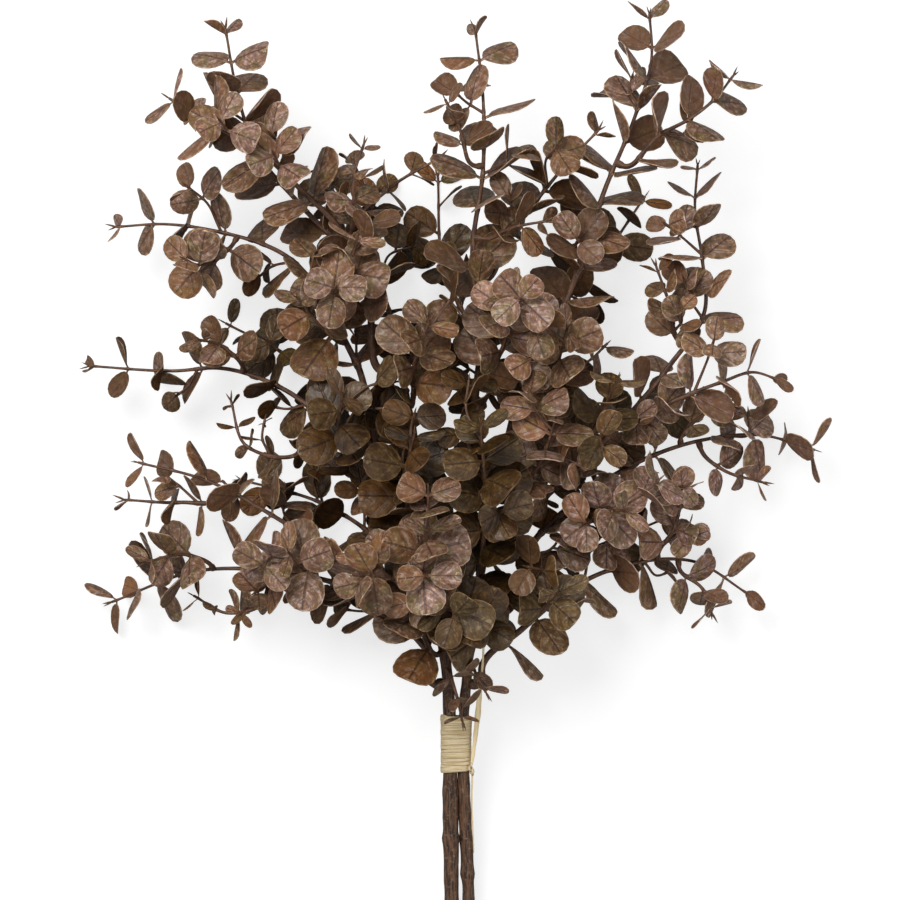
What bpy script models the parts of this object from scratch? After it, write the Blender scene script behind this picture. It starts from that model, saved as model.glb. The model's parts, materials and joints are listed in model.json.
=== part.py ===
"""A bunch of dried boxwood, tied with raffia and lying on its side.

Two woody stems run up through the tie into a loose head of leafy sprays. Each spray is one piece: a
four-sided twig with leaves in crossed opposite pairs and a few thin side stalks, seated by its collar on
a stem or on a larger spray. The cut ends and the lowest sprays lie on the surface z = 0. The stems run
along Y, and the head points to +Y. Lengths and places below are millimetres, and the places are as they
are before the whole bunch is moved by MIDDLE; the objects are made in metres.
"""

import math
import random

import bmesh
import bpy
from mathutils import Matrix, Vector
from mathutils.bvhtree import BVHTree
from mathutils.geometry import interpolate_bezier

METRE = 0.001  # one millimetre in Blender's metres
MIDDLE = (4.215, -22.45, 0)  # the middle of the bunch seen from above, which is moved to the origin
SEED = 25
GAP = 0.3  # between pieces that touch
SAMPLE = 1.5  # spacing of the points kept along an axis

STEM_SIDES = 8
STEM_RING = 16.0  # spacing of a stem's rings
LEAF_THICK = 0.7
LEAF_LENGTH = 19.0  # a full-grown leaf with its petiole
SMALL_LEAF = 0.66 * LEAF_LENGTH  # a shorter one has fewer corners
OVAL = (0.66, 0.90)  # width over length on an open spray
ROUND = (0.78, 0.96)  # and on a dense one
SLIM = (0.34, 0.50)  # and at the very tip, or where all leaves are small
SLIM_SIZE = 0.6
FIRST_PAIR = 0.66  # the size of the pair at the tip, and what each pair adds
PAIR_GROWTH = 0.14
DENSE = 10.0  # a spray whose pairs are nearer together than this is dense
PAIRS = ((1, 3), (0, 2))  # the faces of the twig that bear a pair, turn about
TWIG = 0.75  # a twig's radius at its foot, and what each millimetre of its route adds
TWIG_GROWTH = 0.0052
TWIG_TIP = 0.55
STALK = 0.6
STALK_TIP = 0.42
STALK_LENGTH = (14, 26)
DENSE_STALKS = (1, 3, 5)  # the pairs, counted from the tip, beside which a stalk may grow
OPEN_STALKS = (3, 5, 8)
ATTEMPTS = 36
CHECK_STEP = 3.0  # spacing of the rings that tell whether an axis is clear
COLLAR = 2.2  # length of the collar at a spray's foot
COLLAR_SWELL = 1.35
SEAT_ROOM = 3.6  # no leaf starts nearer than this to the seat of another spray
STATION = 1.3  # height of the place on a twig where a pair of leaves starts
RING_MOST = 15.0  # the longest stretch of a twig with no ring
FLAT_BELOW = 3.0  # a twig lower than this lays its leaves flat on the surface
FLOOR = 0.2  # the other leaves keep this far above it
PRESSED = 0.5  # what is lower than this is pressed flat against the surface

TIE_ENDS = (-132.0, -106.5)  # where the raffia is wound, along Y
TIE_CLEAR = 0.45  # between the stems and the winding
RAFFIA = 0.9  # thickness of the winding
TIE_ROOM = 2.2
TIE_STEPS = 5
TIE_ARC = 10  # points round each end of the winding's section
KNOT_SIZE = (1.7, 2.2, 1.4)

# A stem's radius at its cut end and at its top, and the points that it runs through from the cut end.
STEMS = {
    "stem_left": (3.4, 1.3, [(0.8, -224, 3.5), (0.6, -180, 10.7), (0.1, -136, 18.9), (0, -119, 22.2),
                             (-0.4, -102, 25.4), (-4, -66, 32.2), (-9, -28, 37.4), (-15, 8, 42),
                             (-22, 44, 46)]),
    "stem_right": (2.8, 1.2, [(8.6, -221, 2.9), (7.4, -178, 10.6), (5.6, -136, 18.5), (5.3, -119, 21.7),
                              (6.0, -102, 25), (10, -66, 31.8), (16, -28, 37.4), (24, 8, 42), (34, 44, 46)]),
}

# A spray: its name, what carries it, the largest leaf as a share of LEAF_LENGTH, the distance between
# pairs of leaves, and its route from near its seat to its tip.
SPRAYS = [
    # the long outer branches
    ("top_left", "stem_left", 1.1, 13.5,
     [(-18, 32, 44), (-34, 70, 50), (-58, 96, 53), (-77, 119, 57), (-84, 140, 59), (-89, 167, 62)]),
    ("top_left_side", "top_left", 1.1, 12,
     [(-46, 84, 52), (-60, 104, 62), (-80, 121, 68), (-96, 129, 69), (-111, 139, 67)]),
    ("left_high", "stem_left", 1.0, 16,
     [(-11, -16, 39), (-38, 36, 46), (-66, 78, 42), (-94, 88, 36), (-115, 91, 32), (-135, 90, 30)]),
    ("left_mid", "stem_left", 0.9, 16,
     [(-6, -48, 34), (-42, 4, 34), (-70, 26, 30), (-92, 33, 26), (-112, 32, 24), (-146, 34, 24)]),
    ("left_low", "stem_left", 1.0, 15,
     [(-3, -72, 31), (-36, -50, 42), (-68, -28, 46), (-98, -12, 44), (-125, -5, 42)]),
    ("lower_left", "stem_left", 1.1, 12,
     [(-1, -94, 27), (-6.5, -87, 29), (-16, -73, 31), (-36, -58, 29), (-72, -49, 24), (-102, -49, 18),
      (-138, -62, 11)]),
    ("top_middle", "stem_right", 1.1, 12,
     [(22, -2, 40), (12, 46, 54), (9, 80, 62), (13, 110, 66), (13, 140, 68), (10, 166, 68)]),
    ("top_right", "stem_right", 1.1, 13.5,
     [(31, 32, 45), (45, 56, 50), (52, 74, 52), (61, 102, 55), (74, 134, 58), (80, 156, 60), (79, 173, 62)]),
    ("top_right_side", "top_right", 1.1, 13,
     [(66, 114, 56), (82, 124, 64), (95, 131, 68), (105, 139, 68), (112, 148, 67)]),
    ("right_tall", "stem_right", 0.95, 13,
     [(14, -36, 36), (42, -14, 42), (66, 8, 44), (88, 34, 45), (102, 56, 44), (101, 76, 44), (98, 96, 45),
      (99, 114, 46)]),
    ("right_high", "right_tall", 0.95, 13,
     [(74, 17, 45), (90, 20, 52), (108, 27, 54), (121, 31, 52), (131, 28, 50)]),
    ("right_mid", "stem_right", 1.1, 14,
     [(9, -62, 32), (36, -34, 38), (60, -14, 36), (80, -3, 32), (102, 4, 28), (126, 6, 24), (148, 0, 20)]),
    ("lower_right", "stem_right", 1.1, 13,
     [(7, -94, 27), (13, -87, 29), (28, -73, 31), (56, -52, 28), (78, -45, 24), (98, -45, 20),
      (122, -59, 13)]),
    ("upper_right", "top_middle", 1.05, 11,
     [(9, 66, 60), (22, 82, 58), (32, 96, 57), (44, 111, 58), (59, 127, 60)]),
    ("upper_left", "top_left", 0.75, 13,
     [(-37, 73, 50), (-36, 92, 44), (-24, 105, 42), (-4, 117, 44)]),
    # short sprays on them
    ("left_low_side", "left_low", 0.75, 11, [(-90, -15, 46), (-108, -21, 40), (-131, -20, 36)]),
    ("left_high_side", "left_high", 1.0, 9, [(-86, 86, 38), (-93, 76, 48), (-101, 70, 51)]),
    ("left_mid_curl", "left_mid", 0.6, 11, [(-52, 13, 34), (-62, -2, 40), (-82, 2, 41), (-88, 20, 38)]),
    ("left_mid_side", "left_mid", 0.85, 10, [(-84, 31, 28), (-92, 42, 40), (-100, 44, 48)]),
    ("lower_left_curl", "lower_left", 0.6, 11,
     [(-72, -50, 25), (-76, -62, 28), (-90, -66, 25), (-104, -59, 21)]),
    ("lower_left_side", "lower_left", 1.0, 10, [(-96, -49, 20), (-108, -42, 32), (-122, -45, 39)]),
    ("top_left_curl", "top_left", 0.65, 12, [(-44, 82, 52), (-38, 96, 64), (-38, 108, 67), (-34, 121, 67)]),
    ("top_middle_left", "top_middle", 0.75, 10, [(13, 112, 66), (4, 126, 74), (-2, 138, 76)]),
    ("top_middle_right", "top_middle", 0.95, 10, [(11, 84, 63), (26, 88, 72), (38, 90, 75)]),
    ("right_tall_inner", "right_tall", 0.75, 10, [(93, 42, 45), (88, 56, 54), (82, 73, 56)]),
    ("right_mid_up", "right_mid", 0.7, 10, [(94, 1, 29), (100, 13, 38), (113, 20, 40)]),
    ("right_mid_down", "right_mid", 0.75, 10, [(100, 3, 28), (110, -8, 32), (126, -13, 30)]),
    ("lower_right_up", "lower_right", 0.8, 9, [(84, -45, 23), (90, -32, 36), (94, -14, 40)]),
    ("lower_right_down", "lower_right", 0.85, 10, [(92, -45, 21), (102, -56, 26), (106, -66, 22)]),
    # the sprays that rise from the middle of the head
    ("front_top", "top_middle", 0.95, 8.5, [(15, 32, 50), (22, 44, 70), (20, 62, 90)]),
    ("front_top_right", "stem_right", 1.0, 9, [(28, 22, 43), (42, 34, 68), (46, 48, 84)]),
    ("front_top_left", "stem_left", 1.0, 9, [(-14, 18, 43), (-14, 34, 72), (-8, 50, 90)]),
    ("front_left_high", "left_high", 1.05, 9, [(-42, 44, 45), (-52, 50, 66), (-60, 60, 77)]),
    ("front_left_top", "top_left", 1.0, 9, [(-28, 56, 48), (-40, 70, 72), (-36, 84, 81)]),
    ("front_left", "left_mid", 1.0, 9, [(-36, -2, 35), (-44, 8, 62), (-42, 22, 79)]),
    ("front_middle", "stem_left", 1.05, 8.5, [(-8, -38, 36), (-18, -14, 72), (-14, 6, 91)]),
    ("front_low", "stem_left", 1.05, 8.5, [(-4, -60, 33), (-12, -46, 72), (-8, -30, 95)]),
    ("front_low_left", "stem_left", 1.05, 8.5, [(-2, -80, 29), (-18, -56, 65), (-32, -42, 84)]),
    ("front_lower_left", "left_low", 1.05, 8.5, [(-46, -42, 44), (-58, -46, 63), (-64, -40, 74)]),
    ("front_right", "stem_right", 1.0, 8.5, [(12, -50, 34), (14, -24, 72), (12, 10, 95)]),
    ("front_right_high", "stem_right", 1.0, 9, [(18, -20, 38), (36, -4, 68), (42, 14, 82)]),
    ("front_right_side", "right_mid", 1.0, 8.5, [(50, -22, 37), (62, -24, 60), (70, -24, 72)]),
    ("front_right_tall", "right_tall", 0.95, 11, [(54, -4, 43), (60, 14, 64), (66, 28, 74)]),
    ("front_foot", "stem_right", 1.1, 9, [(8, -82, 29), (9, -70, 58), (-4, -60, 79)]),
    ("front_foot_right", "lower_right", 1.05, 9, [(32, -70, 31), (38, -62, 52), (43, -56, 66)]),
    ("droop_left", "stem_left", 0.6, 10, [(-0.6, -92, 27), (-1, -88, 36), (2, -96, 42), (5, -109, 39)]),
    ("droop_right", "stem_right", 0.9, 10, [(7, -90, 27), (8, -84, 38), (11, -90, 46), (14, -97, 46)]),
    # the sprays underneath, which lie on the surface
    ("under_left_low", "stem_left", 0.95, 12,
     [(-3, -64, 32), (-30, -36, 14), (-52, -22, 2.5), (-86, -12, 1.2)]),
    ("under_left", "stem_left", 0.95, 12, [(-12, -8, 40), (-38, 16, 15), (-62, 36, 2.5), (-92, 52, 1.2)]),
    ("under_top_left", "stem_left", 0.95, 12,
     [(-17, 24, 43), (-26, 60, 19), (-38, 84, 2.5), (-52, 116, 1.2)]),
    ("under_top", "stem_right", 0.95, 12, [(26, 14, 42), (8, 50, 19), (-3, 76, 2.5), (-5, 112, 1.2)]),
    ("under_top_right", "stem_right", 0.95, 12, [(33, 40, 45), (48, 62, 19), (62, 78, 2.5), (80, 104, 1.2)]),
    ("under_right", "stem_right", 0.95, 12, [(17, -26, 37), (42, -6, 15), (66, 8, 2.5), (98, 22, 1.2)]),
    ("under_right_low", "stem_right", 0.95, 12,
     [(9, -72, 30), (30, -58, 13), (52, -44, 2.5), (88, -28, 1.2)]),
]

# Where the raffia is knotted, and its two free ends: a radius and the points that each runs through.
KNOT = (8.8, -129.2, 23.9)
TAILS = {
    "raffia_tail_up": (0.5, [(8.9, -126.4, 23.8), (10, -118, 25.5), (11.2, -107, 28.5), (12, -97, 35),
                             (13, -86, 45), (13.4, -74, 57), (12.6, -62, 68)]),
    "raffia_tail_down": (0.35, [(9.0, -132, 22.4), (8.9, -137, 20.0), (8.8, -143, 17.6), (9.2, -152, 15.8),
                                (9.7, -164, 13.6)]),
}


def smooth(points):
    """Even points along a smooth curve through the given ones."""
    points = [Vector(p) for p in points]
    gaps = [(b - a).length for a, b in zip(points, points[1:])]
    slopes = [(points[1] - points[0]).normalized()]
    for i in range(1, len(points) - 1):
        before = (points[i] - points[i - 1]) / gaps[i - 1]
        after = (points[i + 1] - points[i]) / gaps[i]
        slopes.append((before * gaps[i] + after * gaps[i - 1]) / (gaps[i] + gaps[i - 1]))
    slopes.append((points[-1] - points[-2]).normalized())
    fine = []
    for i, gap in enumerate(gaps):
        a, b = points[i], points[i + 1]
        curve = interpolate_bezier(a, a + slopes[i] * gap / 3, b - slopes[i + 1] * gap / 3, b, 40)
        fine += curve[:-1]
    return spaced(fine + [points[-1]], SAMPLE)


def spaced(line, step):
    """The same line with points the given step apart."""
    lengths = [0.0]
    for a, b in zip(line, line[1:]):
        lengths.append(lengths[-1] + (b - a).length)
    count = max(2, round(lengths[-1] / step) + 1)
    result = []
    k = 0
    for i in range(count):
        target = lengths[-1] * i / (count - 1)
        while k < len(line) - 2 and lengths[k + 1] < target:
            k += 1
        share = (target - lengths[k]) / max(lengths[k + 1] - lengths[k], 1e-9)
        result.append(line[k].lerp(line[k + 1], share))
    return result


class Axis:
    """A stem, twig or stalk: a tapering centre line that carries a frame from its foot to its tip."""

    def __init__(self, node, route, foot_radius, tip_radius, start=None, side=None, collar=False):
        self.node = node
        self.line = smooth(route)
        self.step = (self.line[1] - self.line[0]).length
        self.length = self.step * (len(self.line) - 1)
        self.radii = (foot_radius, tip_radius)
        self.collar = collar
        self.leaves = []
        self.stalks = []
        self.seats = []
        ahead = [(b - a).normalized() for a, b in zip(self.line, self.line[1:])]
        self.tangents = [ahead[0]] + [(a + b).normalized() for a, b in zip(ahead, ahead[1:])] + [ahead[-1]]
        if start:
            self.tangents[0] = start
        side = side or self.tangents[0].orthogonal()
        self.sides = []
        for tangent in self.tangents:
            side = (side - tangent * side.dot(tangent)).normalized()
            self.sides.append(side)

    def turn(self, angle):
        """Turns the frame about the axis, all along it."""
        self.sides = [Matrix.Rotation(angle, 3, t) @ s for s, t in zip(self.sides, self.tangents)]

    def at(self, s):
        """The point, tangent, side and radius at a distance along the axis."""
        place = min(max(s / self.step, 0.0), len(self.line) - 1.001)
        k = int(place)
        share = place - k
        point = self.line[k].lerp(self.line[k + 1], share)
        tangent = self.tangents[k].lerp(self.tangents[k + 1], share).normalized()
        side = self.sides[k].lerp(self.sides[k + 1], share)
        side = (side - tangent * side.dot(tangent)).normalized()
        radius = self.radii[0] + (self.radii[1] - self.radii[0]) * s / self.length
        if self.collar and s < COLLAR:
            radius *= COLLAR_SWELL
        return point, tangent, side, radius

    def ring(self, s, sides=4, grow=0.0):
        """The corners of the section at s. Of four faces, face k looks k quarter turns from the side."""
        point, tangent, side, radius = self.at(s)
        across = tangent.cross(side)
        angles = [(k - 0.5) * math.tau / sides for k in range(sides)]
        return [point + (side * math.cos(a) + across * math.sin(a)) * (radius + grow) for a in angles]

    def outward(self, s, face):
        """The way that a face looks."""
        _, tangent, side, _ = self.at(s)
        return Matrix.Rotation(face * math.pi / 2, 3, tangent) @ side

    def shape(self, grow=0.0, start=0.0):
        """A four-sided tube round the axis, from a distance along it to its tip."""
        count = max(2, round((self.length - start) / CHECK_STEP))
        stations = [start + (self.length - start) * i / count for i in range(count + 1)]
        return Shape(self.node, [self.ring(s, grow=grow) for s in stations])


class Leaf:
    """A blade on its petiole, in a plane."""

    def __init__(self, node, foot, direction, across, length, width, pressed=False):
        self.node = node
        self.pressed = pressed
        self.foot = foot
        self.direction = direction
        self.across = across
        self.normal = direction.cross(across)
        self.length = length
        self.width = width

    def point(self, along, aside, up=0.0):
        """A point given as shares of the length and half width, and a height above the blade."""
        return (self.foot + self.direction * self.length * along
                + self.across * self.width / 2 * aside + self.normal * up)

    def edge(self):
        """The stations of the edge, as (share of the length, share of the half width)."""
        if self.length > SMALL_LEAF:
            return [(0.40, 0.92), (0.80, 0.78)]
        return [(0.56, 1.0)]

    def shape(self, grow=0.0, whole=True):
        """A flat plate that holds the leaf, or only its blade."""
        up = LEAF_THICK / 2 + grow
        wide = 2 * grow / self.width
        rings = []
        for along, aside in [(0.0, 0.1) if whole else (0.18, 0.4)] + self.edge():
            x = aside + wide
            rings.append([self.point(along, a, b) for a, b in ((-x, -up), (x, -up), (x, up), (-x, up))])
        return Shape(self.node, rings, self.tip(grow))

    def tip(self, grow=0.0):
        return self.foot + self.direction * (self.length + grow)


class Shape:
    """A closed shape through rings of four corners, that can tell whether it meets another."""

    def __init__(self, node, rings, tip=None):
        self.node = node
        points = [p for ring in rings for p in ring]
        faces = [(3, 2, 1, 0)]
        for i in range(0, len(points) - 4, 4):
            faces += [(i + k, i + (k + 1) % 4, i + 4 + (k + 1) % 4, i + 4 + k) for k in range(4)]
        last = len(points) - 4
        if tip is None:
            faces.append((last, last + 1, last + 2, last + 3))
        else:
            points.append(tip)
            faces += [(last + k, last + (k + 1) % 4, last + 4) for k in range(4)]
        self.tree = BVHTree.FromPolygons(points, faces)
        self.middle = sum(points, Vector()) / len(points)
        self.reach = max((p - self.middle).length for p in points)
        self.lowest = min(p.z for p in points)

    def meets(self, other):
        near = (self.middle - other.middle).length < self.reach + other.reach
        return near and bool(self.tree.overlap(other.tree))


class Crowd(list):
    """The shapes in place, which the next piece is kept clear of."""

    def free(self, shape, nodes=()):
        """Whether a shape meets none of the others, leaving out those of some nodes."""
        return not any(other.node not in nodes and shape.meets(other) for other in self)


def seated(parent, route):
    """A spray's route from the nearest point of its parent, clear by GAP, the way it starts and its seat."""
    route = [Vector(p) for p in route]
    k = min(range(2, len(parent.line) - 2), key=lambda i: (parent.line[i] - route[0]).length)
    point, tangent, _, parent_radius = parent.at(k * parent.step)
    away = route[1] - point
    away = (away - tangent * away.dot(tangent)).normalized()
    foot = point + away * (parent_radius + GAP)
    lead = foot + away * (COLLAR + 1.0)
    return [foot, lead] + route[1:], away, k * parent.step


def grow_spray(name, parent, route, crowd, draw):
    """A spray's axis, moved a little more at each attempt until it clears the others."""
    route = [Vector(p) for p in route]
    far = sum((b - a).length for a, b in zip(route, route[1:]))
    for attempt in range(ATTEMPTS):
        moved = [route[0]]
        for p in route[1:]:
            bump = Vector([draw.uniform(-0.5, 0.5) * attempt for _ in range(3)])
            moved.append(p + bump if p.z > FLAT_BELOW else p + Vector((bump.x, bump.y, 0)) * 0.4)
        points, away, seat = seated(parent, moved)
        axis = Axis(name, points, TWIG + TWIG_GROWTH * far, TWIG_TIP, start=away, collar=True)
        clear_of_parent = crowd.free(axis.shape(GAP, start=COLLAR + 2.0))
        if clear_of_parent and crowd.free(axis.shape(GAP), (parent.node,)):
            break
    axis.turn(draw.uniform(0, math.tau))
    parent.seats.append(seat)
    crowd.append(axis.shape())
    return axis


def stations_of(axis, gap, bare):
    """Distances along the axis where leaves are borne, from the tip back, with a growth share for each."""
    s = axis.length - 2.2
    found = []
    while s > bare:
        share = min(1.0, FIRST_PAIR + PAIR_GROWTH * len(found))
        if all(abs(s - seat) > SEAT_ROOM for seat in axis.seats):
            found.append((s, share))
        s -= gap * (0.55 + 0.45 * share)
    return found


def grow_stalk(axis, s, face, length, crowd, draw):
    """A thin side stalk that leaves the twig in a curve, or None where there is no room."""
    point, tangent, _, radius = axis.at(s)
    out = axis.outward(s, face)
    foot = point + out * radius * 0.6
    for _ in range(ATTEMPTS // 3):
        lean = math.radians(draw.uniform(38, 62))
        first = (tangent * math.cos(lean) + out * math.sin(lean)).normalized()
        bend = Vector((draw.uniform(-1, 1), draw.uniform(-1, 1), draw.uniform(-0.4, 1)))
        middle = foot + first * length * 0.5
        end = middle + (first * 0.6 + bend * 0.55).normalized() * length * 0.5
        route = [foot, foot + first * 2.5, middle, end]
        stalk = Axis(axis.node, route, STALK, STALK_TIP, side=-tangent)
        if stalk.shape(GAP).lowest < FLOOR or not crowd.free(stalk.shape(GAP), (axis.node,)):
            continue
        if crowd.free(stalk.shape(GAP, start=3.5)):
            crowd.append(stalk.shape(start=2.0))
            return stalk
    return None


def grow_leaf(axis, s, face, length, shape, crowd, draw):
    """A leaf that clears everything in place, or None."""
    point, tangent, _, radius = axis.at(s)
    out = axis.outward(s, face)
    foot = point + out * radius * 0.7
    flat = point.z < FLAT_BELOW and abs(out.z) < 0.75
    for attempt in range(ATTEMPTS // 2):
        loose = 1.0 + 0.1 * attempt
        lean = math.radians(64 + draw.uniform(-12, 12) * loose)
        size = length * draw.uniform(0.9, 1.08) * (1 - 0.02 * attempt)
        direction = (tangent * math.cos(lean) + out * math.sin(lean)).normalized()
        across = tangent.cross(out)
        if flat:
            direction = Vector((direction.x, direction.y, 0)).normalized()
            across = Vector((0, 0, 1)).cross(direction)
            foot = Vector((foot.x, foot.y, LEAF_THICK / 2))
        else:
            upright = math.atan2(across.z, direction.cross(across).z)
            facing = draw.uniform(0.3, 1.0) if shape is ROUND else draw.uniform(0.1, 0.95)
            roll = max(-0.9, min(0.9, upright)) * facing + draw.uniform(-0.3, 0.3) * loose
            across = Matrix.Rotation(-roll, 3, direction) @ across
        leaf = Leaf(axis.node, foot, direction, across, size, size * draw.uniform(*shape), flat)
        if not flat and leaf.shape(GAP).lowest < FLOOR:
            continue
        if crowd.free(leaf.shape(GAP, whole=False)) and crowd.free(leaf.shape(GAP), (axis.node,)):
            crowd.append(leaf.shape())
            return leaf
    return None


def where(axis, y):
    """The point and radius of a stem where it passes y."""
    k = min(range(len(axis.line)), key=lambda i: abs(axis.line[i].y - y))
    point, _, _, radius = axis.at(k * axis.step)
    return point, radius


def tie_shape(axes):
    """A box round the winding, which the leaves are kept clear of."""
    rings = []
    for y in TIE_ENDS:
        (left, a), (right, b) = (where(axes[name], y) for name in STEMS)
        low, high = left.z - a - TIE_ROOM, left.z + a + TIE_ROOM
        x0, x1 = left.x - a - TIE_ROOM, right.x + b + TIE_ROOM
        rings.append([Vector(c) for c in ((x0, y, low), (x1, y, low), (x1, y, high), (x0, y, high))])
    return Shape("raffia_tie", rings)


def plan():
    """Every axis of the bunch by name, with its stalks and leaves in place."""
    draw = random.Random(SEED)
    crowd = Crowd()
    axes = {}
    for name, (foot, top, route) in STEMS.items():
        axes[name] = Axis(name, route, foot, top)
        crowd.append(axes[name].shape(foot * 0.4))
    for name, (radius, route) in TAILS.items():
        axes[name] = Axis(name, route, radius, radius)
        crowd.append(axes[name].shape(GAP))
    crowd.append(tie_shape(axes))
    for name, parent, size, gap, route in SPRAYS:
        axes[name] = grow_spray(name, axes[parent], route, crowd, draw)
    wanted = []
    for name, parent, size, gap, route in SPRAYS:
        axis = axes[name]
        shape = SLIM if size <= SLIM_SIZE else ROUND if gap < DENSE else OVAL
        bare = COLLAR + max(4.0, 0.1 * axis.length)
        for i, (s, share) in enumerate(stations_of(axis, gap, bare)):
            form = shape if i else SLIM
            wanted += [(axis, s, face, LEAF_LENGTH * size * share, form) for face in PAIRS[i % 2]]
            if i in (DENSE_STALKS if gap < DENSE else OPEN_STALKS):
                bud = s + 1.6 * STATION
                face = PAIRS[i % 2][draw.randrange(2)]
                stalk = grow_stalk(axis, bud, face, draw.uniform(*STALK_LENGTH), crowd, draw)
                if stalk:
                    axis.stalks.append((bud, face, stalk))
                    for j, (t, part) in enumerate(stations_of(stalk, 8.0, 5.0)[:2]):
                        wanted += [(stalk, t, f, LEAF_LENGTH * size * part, shape) for f in PAIRS[j]]
    wanted.sort(key=lambda w: -w[0].at(w[1])[0].z)
    for axis, s, face, length, shape in wanted:
        leaf = grow_leaf(axis, s, face, length, shape, crowd, draw)
        if leaf:
            axis.leaves.append((s, face, leaf))
    return axes


class Solid:
    """The corners and faces of one closed body."""

    def __init__(self):
        self.points = []
        self.faces = []

    def ring(self, corners):
        self.points += corners
        return list(range(len(self.points) - len(corners), len(self.points)))

    def wall(self, a, b, without=()):
        """The sides between two rings."""
        n = len(a)
        self.faces += [(a[k], a[(k + 1) % n], b[(k + 1) % n], b[k]) for k in range(n) if k not in without]

    def close(self, ring, tip):
        self.points.append(tip)
        n = len(ring)
        self.faces += [(ring[k], ring[(k + 1) % n], len(self.points) - 1) for k in range(n)]

    def object(self, name, colour, roughness):
        """The body as a Blender object with its own material."""
        for p in self.points:
            if p.z < PRESSED:
                p.z = 0.0
        mesh = bpy.data.meshes.new(name)
        mesh.from_pydata([p * METRE for p in self.points], [], self.faces)
        mesh.update()
        return finish(bpy.data.objects.new(name, mesh), colour, roughness)


def finish(obj, colour, roughness):
    """Moves the object into place, links it and gives it a material of its own."""
    obj.data.transform(Matrix.Translation(-Vector(MIDDLE) * METRE))
    material = bpy.data.materials.new(obj.name)
    material.use_nodes = True
    shader = material.node_tree.nodes["Principled BSDF"]
    shader.inputs["Base Color"].default_value = (*colour, 1)
    shader.inputs["Roughness"].default_value = roughness
    obj.data.materials.append(material)
    bpy.context.collection.objects.link(obj)
    return obj


def grow_solid(solid, axis, ring):
    """Carries the solid from a ring along an axis, out into its leaves and stalks, and closes the tip."""
    organs = {}
    for s, face, organ in axis.leaves + axis.stalks:
        organs.setdefault(round(s, 3), []).append((face, organ))
    done = 0.0
    for s in sorted(organs) + [axis.length]:
        start = s - STATION / 2 if s in organs else s
        extra = max(0, math.ceil((start - done) / RING_MOST) - 1)
        for i in range(1, extra + 1):
            following = solid.ring(axis.ring(done + (start - done) * i / (extra + 1)))
            solid.wall(ring, following)
            ring = following
        if s not in organs:
            solid.close(ring, axis.line[-1])
            break
        low = solid.ring(axis.ring(start))
        solid.wall(ring, low)
        ring = solid.ring(axis.ring(start + STATION))
        solid.wall(low, ring, [face for face, _ in organs[s]])
        for face, organ in organs[s]:
            after = (face + 1) % 4
            base = [low[face], low[after], ring[after], ring[face]]
            if isinstance(organ, Leaf):
                grow_blade(solid, organ, base)
            else:
                grow_solid(solid, organ, base)
        done = start + STATION


def grow_blade(solid, leaf, base):
    """The blade from its four corners on the twig, which are left and right below, right and left above.

    It tapers from the twig to a thin edge. A pressed leaf is flat underneath and full in the middle.
    """
    right = solid.ring([leaf.point(along, aside) for along, aside in leaf.edge()])
    left = solid.ring([leaf.point(along, -aside) for along, aside in reversed(leaf.edge())])
    edge = right + solid.ring([leaf.tip()]) + left
    hubs = (base[2], base[1])
    if leaf.pressed:
        hubs = solid.ring([leaf.point(0.56, 0, up) for up in (LEAF_THICK / 2, -LEAF_THICK / 2)])
    above = [base[2], *edge, base[3]]
    below = [base[1], *edge, base[0]]
    for chain, hub, turn in ((above, hubs[0], -1), (below, hubs[1], 1)):
        for a, b in zip(chain, chain[1:] + chain[:1]):
            if hub not in (a, b):
                solid.faces.append((a, b, hub)[::turn])
    solid.faces += [(base[1], base[2], edge[0]), (base[3], base[0], edge[-1])]


def spray_object(name, axis, shade):
    solid = Solid()
    foot = solid.ring(axis.ring(0.0))
    solid.faces.append(tuple(reversed(foot)))
    shoulder = solid.ring(axis.ring(COLLAR - 0.01))
    solid.wall(foot, shoulder)
    neck = solid.ring(axis.ring(COLLAR + 0.6))
    solid.wall(shoulder, neck)
    grow_solid(solid, axis, neck)
    return solid.object(name, (0.22 * shade, 0.135 * shade, 0.09 * shade), 0.5)


def stem_object(name, axis):
    solid = Solid()
    count = round(axis.length / STEM_RING)
    rings = [solid.ring(axis.ring(axis.length * i / count, STEM_SIDES)) for i in range(count + 1)]
    for a, b in zip(rings, rings[1:]):
        solid.wall(a, b)
    solid.faces.append(tuple(reversed(rings[0])))
    point, tangent, _, radius = axis.at(axis.length)
    solid.close(rings[-1], point + tangent * radius)
    return solid.object(name, (0.055, 0.032, 0.022), 0.75)


def winding_outline(left, right, offset):
    """The outline round both stems, given as (centre, radius), at an offset from them."""
    quarter = math.pi / 2
    outline = []
    for (centre, radius), start in ((right, -quarter), (left, quarter)):
        for k in range(TIE_ARC):
            angle = start + math.pi * k / (TIE_ARC - 1)
            outline.append(centre + Vector((math.cos(angle), 0, math.sin(angle))) * (radius + offset))
    return outline


def tie_object(axes):
    """A sleeve of wound raffia, open at both ends, round the two stems."""
    solid = Solid()
    outer, inner = [], []
    for i in range(TIE_STEPS + 1):
        y = TIE_ENDS[1] + (TIE_ENDS[0] - TIE_ENDS[1]) * i / TIE_STEPS
        left, right = where(axes["stem_left"], y), where(axes["stem_right"], y)
        inner.append(solid.ring(winding_outline(left, right, TIE_CLEAR)))
        outer.append(solid.ring(winding_outline(left, right, TIE_CLEAR + RAFFIA)))
    for i in range(TIE_STEPS):
        solid.wall(outer[i], outer[i + 1])
        solid.wall(inner[i + 1], inner[i])
    solid.wall(inner[0], outer[0])
    solid.wall(outer[-1], inner[-1])
    return solid.object("raffia_tie", (0.62, 0.52, 0.36), 0.7)


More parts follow.
